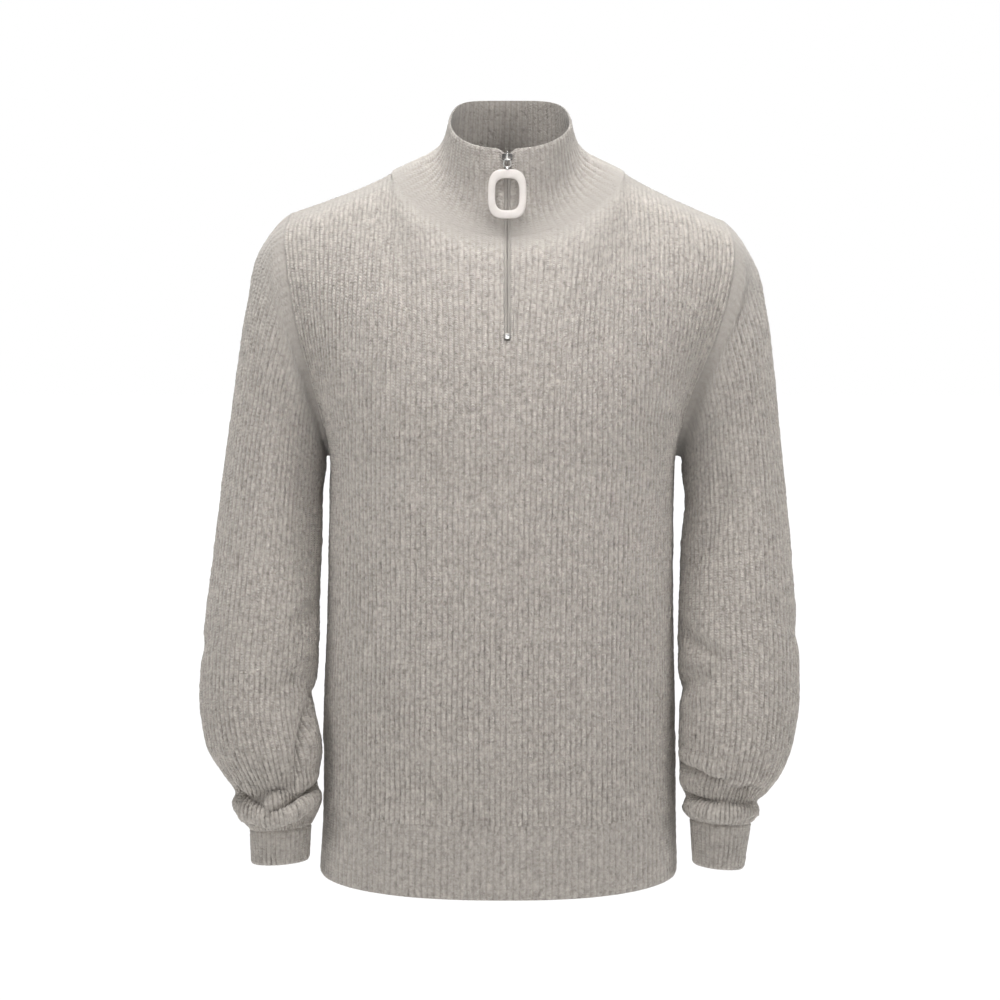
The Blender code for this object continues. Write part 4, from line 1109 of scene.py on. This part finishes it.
for wearer in ("right", "left"):
    columns = sleeveLook["ribs"] * sleeveLook["perRib"]
    fine = refined(sleeveGrid(wearer), sleeveLook["rowStep"], columns, True)
    normals = outwardNormals(fine, True, fine.mean(axis=1, keepdims=True))
    shaped = creased(fine, normals, sleeveCreases[wearer])
    shaped = undulated(shaped, normals, sleeveLook["swell"], sleeveLook["swellSeed"], True)
    fine = keepingEdges(fine, shaped, True, first=14, last=2)
    normals = outwardNormals(fine, True, fine.mean(axis=1, keepdims=True))
    sleeve = knittedWall("sleeve_" + wearer + "_knit", fine, normals, sleeveLook, knit, True)
    dress(sleeve, "sleeve_" + wearer)
    rows = np.array([armLoop(row, armColumns) for row in cuffShape[wearer]])
    fine = refined(rows, cuffLook["rowStep"], cuffLook["ribs"] * cuffLook["perRib"], True)
    normals = outwardNormals(fine, True, fine.mean(axis=1, keepdims=True))
    cuff = knittedWall("cuff_" + wearer + "_knit", fine, normals, cuffLook, bandKnit, True)
    dress(cuff, "cuff_" + wearer)
print("sleeves and cuffs made")


# The hem band

bandLook = {"ribs": 152, "perRib": 4, "inside": 2, "seed": 71, "stand": 0.8, "rowStep": 2.6}
bandLook["fade"] = {"first": (3.2, 0.45), "last": (1.6, 0.92)}


def bandGrid():
    shares = np.linspace(0, 1, 101)
    rows = []
    for z in np.linspace(bodyShape["hem"], bodyShape["bandTop"], 4):
        front, back = bodyHalf(z, "front", shares), bodyHalf(z, "back", shares)
        row = np.concatenate([front[:-1], back[::-1][:-1]])
        low = (bodyShape["bandTop"] - z) / (bodyShape["bandTop"] - bodyShape["hem"])
        row[:, 2] -= bodyShape["dip"] * low * np.clip(row[:, 1] / row[:, 1].min(), 0, 1) ** 1.7
        rows.append(row)
    return np.array(rows)


fine = refined(bandGrid(), bandLook["rowStep"], bandLook["ribs"] * bandLook["perRib"], True)
normals = outwardNormals(fine, True, bodyMiddle(fine))
band = knittedWall("hem_band_knit", fine, normals, bandLook, bandKnit, True)
dress(band, "hem_band")
print("hem band made")


# The zip

# the zip's middle line, up the slit of the front and between the collar's two ends
frontMiddle = frontGrid.shape[1] // 2
frontLine = (frontGrid[slitRow:, frontMiddle - 1] + frontGrid[slitRow:, frontMiddle + 1]) / 2
zipLine = np.concatenate([frontLine[:-1], (collar[:, 0] + collar[:, -1]) / 2]) * [0, 1, 1]
kernel = np.ones(7) / 7
smoothed = np.pad(zipLine, ((3, 3), (0, 0)), mode="edge")
smoothed = np.stack([np.convolve(smoothed[:, k], kernel, mode="valid") for k in range(3)], axis=1)
zipLine[3:-3] = smoothed[3:-3]


# a point on the zip's line at a height, with the directions up along the zip and out of it
def zipPlace(z):
    point = np.array([0, np.interp(z, zipLine[:, 2], zipLine[:, 1]), z])
    ahead = np.array([0, np.interp(z + 4, zipLine[:, 2], zipLine[:, 1]), z + 4])
    behind = np.array([0, np.interp(z - 4, zipLine[:, 2], zipLine[:, 1]), z - 4])
    up = unit(ahead - behind)
    return point, up, np.array([0, -up[2], up[1]])


tapeShape = {"beside": [0, 2.4, 4.9, 7.4, 9.9], "inwards": 2.4, "thick": 0.8, "columns": 14}
tapeShape["behind"] = [0.1, 1.0, 1.7, 1.7, 1.7, 1.7]  # from the middle of the cloth back to the tape
teethShape = {"pitch": 1.9, "reach": 3.0, "inset": -0.5, "high": 0.85, "deep": 1.1, "out": -1.7}
teethShape.update({"bevel": 0.22, "above": 4, "below": 6})  # left free at the zip's foot and top


# points of a row of cloth at these lengths from its first point
def besideEdge(row, lengths):
    along = np.concatenate([[0], np.cumsum(np.linalg.norm(np.diff(row, axis=0), axis=1))])
    return np.stack([np.interp(lengths, along, row[:, k]) for k in range(3)], axis=1)


# a tape sewn behind the edge of the slit and of the collar, a little of it standing out beside them
def zipTape(wearer):
    sign = -1 if wearer == "right" else 1
    reach, edge = tapeShape["columns"], frontMiddle + sign
    near = slice(edge, edge + sign * reach, sign)
    beside = slice(0, reach) if wearer == "left" else slice(-1, -1 - reach, -1)
    rows = [(frontGrid[r, near], frontNormals[r, near]) for r in range(slitRow + 1, len(frontGrid) - 1)]
    rows += [(collar[r, beside], collarNormals[r, beside]) for r in range(1, len(collar) - 1)]
    grid = []
    for row, facing in rows:
        points = besideEdge(row, tapeShape["beside"])
        lean = unit(facing.mean(axis=0))
        first = points[:1] - [sign * tapeShape["inwards"], 0, 0]
        grid.append(np.concatenate([first, points]) - lean * np.array(tapeShape["behind"])[:, None])
    grid = np.array(grid)
    count, across = grid.shape[:2]
    along = np.concatenate([[0], np.cumsum(np.linalg.norm(np.diff(grid[:, 0], axis=0), axis=1))])
    wide = [-tapeShape["inwards"], *tapeShape["beside"]]
    faces, places = [], []
    for r in range(count - 1):
        for c in range(across - 1):
            ring = [(r, c), (r, c + 1), (r + 1, c + 1), (r + 1, c)][::sign]
            faces.append([i * across + j for i, j in ring])
            places += [(wide[j], along[i]) for i, j in ring]
    points = grid.reshape(-1, 3) * mm
    made = sheetObject("zip_tape_" + wearer + "_woven", points, faces, places, tapeCloth)
    bpy.ops.object.select_all(action="DESELECT")
    made.select_set(True)
    applied(made, "thickness", "SOLIDIFY", thickness=tapeShape["thick"] * mm, offset=-1)
    return made


def applied(made, name, kind, **values):
    bpy.context.view_layer.objects.active = made
    modifier = made.modifiers.new(name, kind)
    for key, value in values.items():
        setattr(modifier, key, value)
    bpy.ops.object.modifier_apply(modifier=modifier.name)


# puts a piece modelled about the origin, x across, y out and z up the zip, at a place on the zip
def setOnZip(made, point, up, out):
    bpy.ops.object.select_all(action="DESELECT")
    made.select_set(True)
    bpy.context.view_layer.objects.active = made
    bpy.ops.object.transform_apply(location=True, rotation=True, scale=True)
    turn = Matrix([(-1, out[0], up[0]), (0, out[1], up[1]), (0, out[2], up[2])]).to_4x4()
    made.data.transform(Matrix.Translation(Vector(point) * mm) @ turn)


def block(size, at, bevel, segments):
    bpy.ops.object.select_all(action="DESELECT")
    bpy.ops.mesh.primitive_cube_add(size=1, location=[v * mm for v in at], scale=[v * mm for v in size])
    made = bpy.context.object
    bpy.ops.object.transform_apply(location=True, rotation=True, scale=True)
    applied(made, "edges", "BEVEL", width=bevel * mm, segments=segments)
    return made


def joined(name, parts, material):
    bpy.ops.object.select_all(action="DESELECT")
    for part in parts:
        part.select_set(True)
    bpy.context.view_layer.objects.active = parts[0]
    bpy.ops.object.join()
    made = bpy.context.object
    made.name = made.data.name = name
    made.data.materials.clear()
    made.data.materials.append(material)
    made.data.shade_smooth()
    bpy.ops.object.select_all(action="DESELECT")
    made.select_set(True)
    bpy.ops.object.shade_smooth_by_angle(angle=math.radians(40))
    return made


# one tooth, copied up the zip; the two sides' teeth lie by turns
def zipTeeth(wearer):
    sign = -1 if wearer == "right" else 1
    t = teethShape
    at = (t["inset"] + t["reach"] / 2, t["out"], 0)
    tooth = block((t["reach"], t["deep"], t["high"]), at, t["bevel"], 1)
    points = np.array([v.co for v in tooth.data.vertices]) / mm
    faces = [list(p.vertices) for p in tooth.data.polygons]
    bpy.data.objects.remove(tooth)
    allPoints, allFaces = [], []
    start = zipShape["end"] + t["above"] + (t["pitch"] / 2 if wearer == "left" else 0)
    for z in np.arange(start, zipLine[-1, 2] - t["below"], t["pitch"]):
        point, up, out = zipPlace(z)
        first = len(allPoints)
        for x, y, h in points:
            allPoints.append((point + np.array([sign * x, 0, 0]) + out * y + up * h) * mm)
        order = 1 if wearer == "right" else -1
        allFaces += [[first + i for i in face[::order]] for face in faces]
    data = bpy.data.meshes.new("zip_teeth_" + wearer)
    data.from_pydata(allPoints, [], allFaces)
    data.materials.append(teethPlastic)
    made = bpy.data.objects.new(data.name, data)
    bpy.context.scene.collection.objects.link(made)
    return made


for wearer in ("right", "left"):
    tape = zipTape(wearer)
    teeth = zipTeeth(wearer)
    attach(teeth, "sweater")
    dress(tape, "zip_tape_" + wearer)
print("zip tapes and teeth made")


# The slider, stop and pull

# each block's size and place, its bevel and the bevel's segments
sliderShape = {
    "z": 43,
    "body": [  # the plate, what is behind it, and a guard at each side
        ((9.6, 1.3, 6.4), (0, 3.0, 0), 0.45, 3),
        ((5.2, 1.5, 6.4), (0, 1.5, 0), 0.3, 2),
        ((0.8, 0.9, 5.2), (-4.2, 3.9, 0), 0.25, 2),
        ((0.8, 0.9, 5.2), (4.2, 3.9, 0), 0.25, 2),
    ],
    "bail": [  # the bridge and its two feet
        ((1.5, 1.0, 9.3), (0, 5.95, 0), 0.42, 3),
        ((1.5, 2.6, 1.3), (0, 4.6, -4.0), 0.3, 2),
        ((1.5, 2.6, 1.3), (0, 4.6, 4.0), 0.3, 2),
    ],
}
stopShape = {"size": (4.6, 1.7, 5.0), "out": 1.55, "bevel": 0.5, "above": 4}


def slider():
    # the body in the darkened metal, its dark being painted shade and reflection, and the bail in the
    # bright metal
    body = joined("zip_slider_body", [block(*part) for part in sliderShape["body"]], shadedZipMetal)
    return body, joined("zip_slider_bail", [block(*part) for part in sliderShape["bail"]], metal)


for piece in slider():
    setOnZip(piece, *zipPlace(sliderShape["z"]))
    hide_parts("zip_slider")
    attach(piece, "sweater")

stopBlock = block(stopShape["size"], (0, stopShape["out"], 0), stopShape["bevel"], 3)
stopPiece = joined("zip_stop_metal", [stopBlock], metal)
setOnZip(stopPiece, *zipPlace(zipShape["end"] + stopShape["above"]))
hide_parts("zip_stop")
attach(stopPiece, "sweater")

pullRing = {"halfWidth": 18.6, "top": -10.0, "low": -58.8, "bandSide": 6.7, "bandTop": 9.0, "bandLow": 8.1}
pullRing.update({"thick": 2.6, "square": 3.2, "crown": 0.8, "steps": 128, "sides": 24})
pullLink = {"halfWidth": 4.0, "top": 0.5, "low": -8.6, "bandSide": 1.24, "bandTop": 1.24, "bandLow": 1.24}
pullLink.update({"thick": 1.24, "square": 2.6, "crown": 0.8, "steps": 64, "sides": 12})
pullFoot = {"wide": 1.9, "narrow": 0.75, "long": 2.6, "z": -9.3, "bevel": 0.25, "sides": 24}
tube = 0.25  # the torus's thickness before it is drawn out


# a torus drawn out to a rounded rectangle, with a band of its own width at the side, top and foot
def roundedLoop(shape):
    bpy.ops.object.select_all(action="DESELECT")
    bpy.ops.mesh.primitive_torus_add(
        major_segments=shape["steps"], minor_segments=shape["sides"], major_radius=1, minor_radius=tube
    )
    made = bpy.context.object
    for vertex in made.data.vertices:
        x, y, z = vertex.co
        around = math.atan2(x, y)
        out, lift = (math.hypot(x, y) - 1) / tube, z / tube  # from -1 to 1 across the band and through it
        s, c = math.sin(around), math.cos(around)
        blend = c * c
        band = shape["bandSide"] * (1 - blend) + shape["bandTop" if c > 0 else "bandLow"] * blend
        power = 2 / shape["square"]
        halfHigh = (shape["top"] - shape["low"]) / 2
        middle = (shape["top"] + shape["low"]) / 2
        across = math.copysign(abs(s) ** power, s) * (shape["halfWidth"] - band / 2 * (1 - out))
        along = middle + math.copysign(abs(c) ** power, c) * (halfHigh - band / 2 * (1 - out))
        flat = math.copysign(abs(lift) ** shape["crown"], lift) * shape["thick"] / 2
        vertex.co = Vector((across, flat, along)) * mm
    return made


joint = next(j for j in frame["joints"] if j["name"] == "pull_swing")
axisPoint = np.array(joint["pos_m"]) / mm
ringPoints = np.array([v.co for v in frame["nodes"]["zip_pull"].data.vertices]) / mm
lowest = ringPoints[ringPoints[:, 2] < ringPoints[:, 2].min() + 0.8].mean(axis=0) * [0, 1, 1]
pullUp = unit(axisPoint - lowest)
pullOut = np.array([0, -pullUp[2], pullUp[1]])

ring = joined("pull_ring_enamel", [roundedLoop(pullRing)], enamel)
setOnZip(ring, axisPoint, pullUp, pullOut)
link = roundedLoop(pullLink)
bpy.ops.mesh.primitive_cone_add(
    vertices=pullFoot["sides"],
    radius1=pullFoot["wide"] * mm,
    radius2=pullFoot["narrow"] * mm,
    depth=pullFoot["long"] * mm,
    location=(0, 0, pullFoot["z"] * mm),
)
foot = bpy.context.object
bpy.ops.object.transform_apply(location=True, rotation=True, scale=True)
applied(foot, "edges", "BEVEL", width=pullFoot["bevel"] * mm, segments=2)
link = joined("pull_link_metal", [link, foot], metal)
setOnZip(link, axisPoint, pullUp, pullOut)
for piece, slotName in ((ring, "pull"), (link, "metal")):
    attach(piece, "pull")
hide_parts("zip_pull")
print("slider, stop and pull made")

for piece in bpy.context.scene.objects:  # the meshes that were moved point by point are brought up to date
    if piece.type == "MESH" and not piece.hide_render:
        piece.data.update()
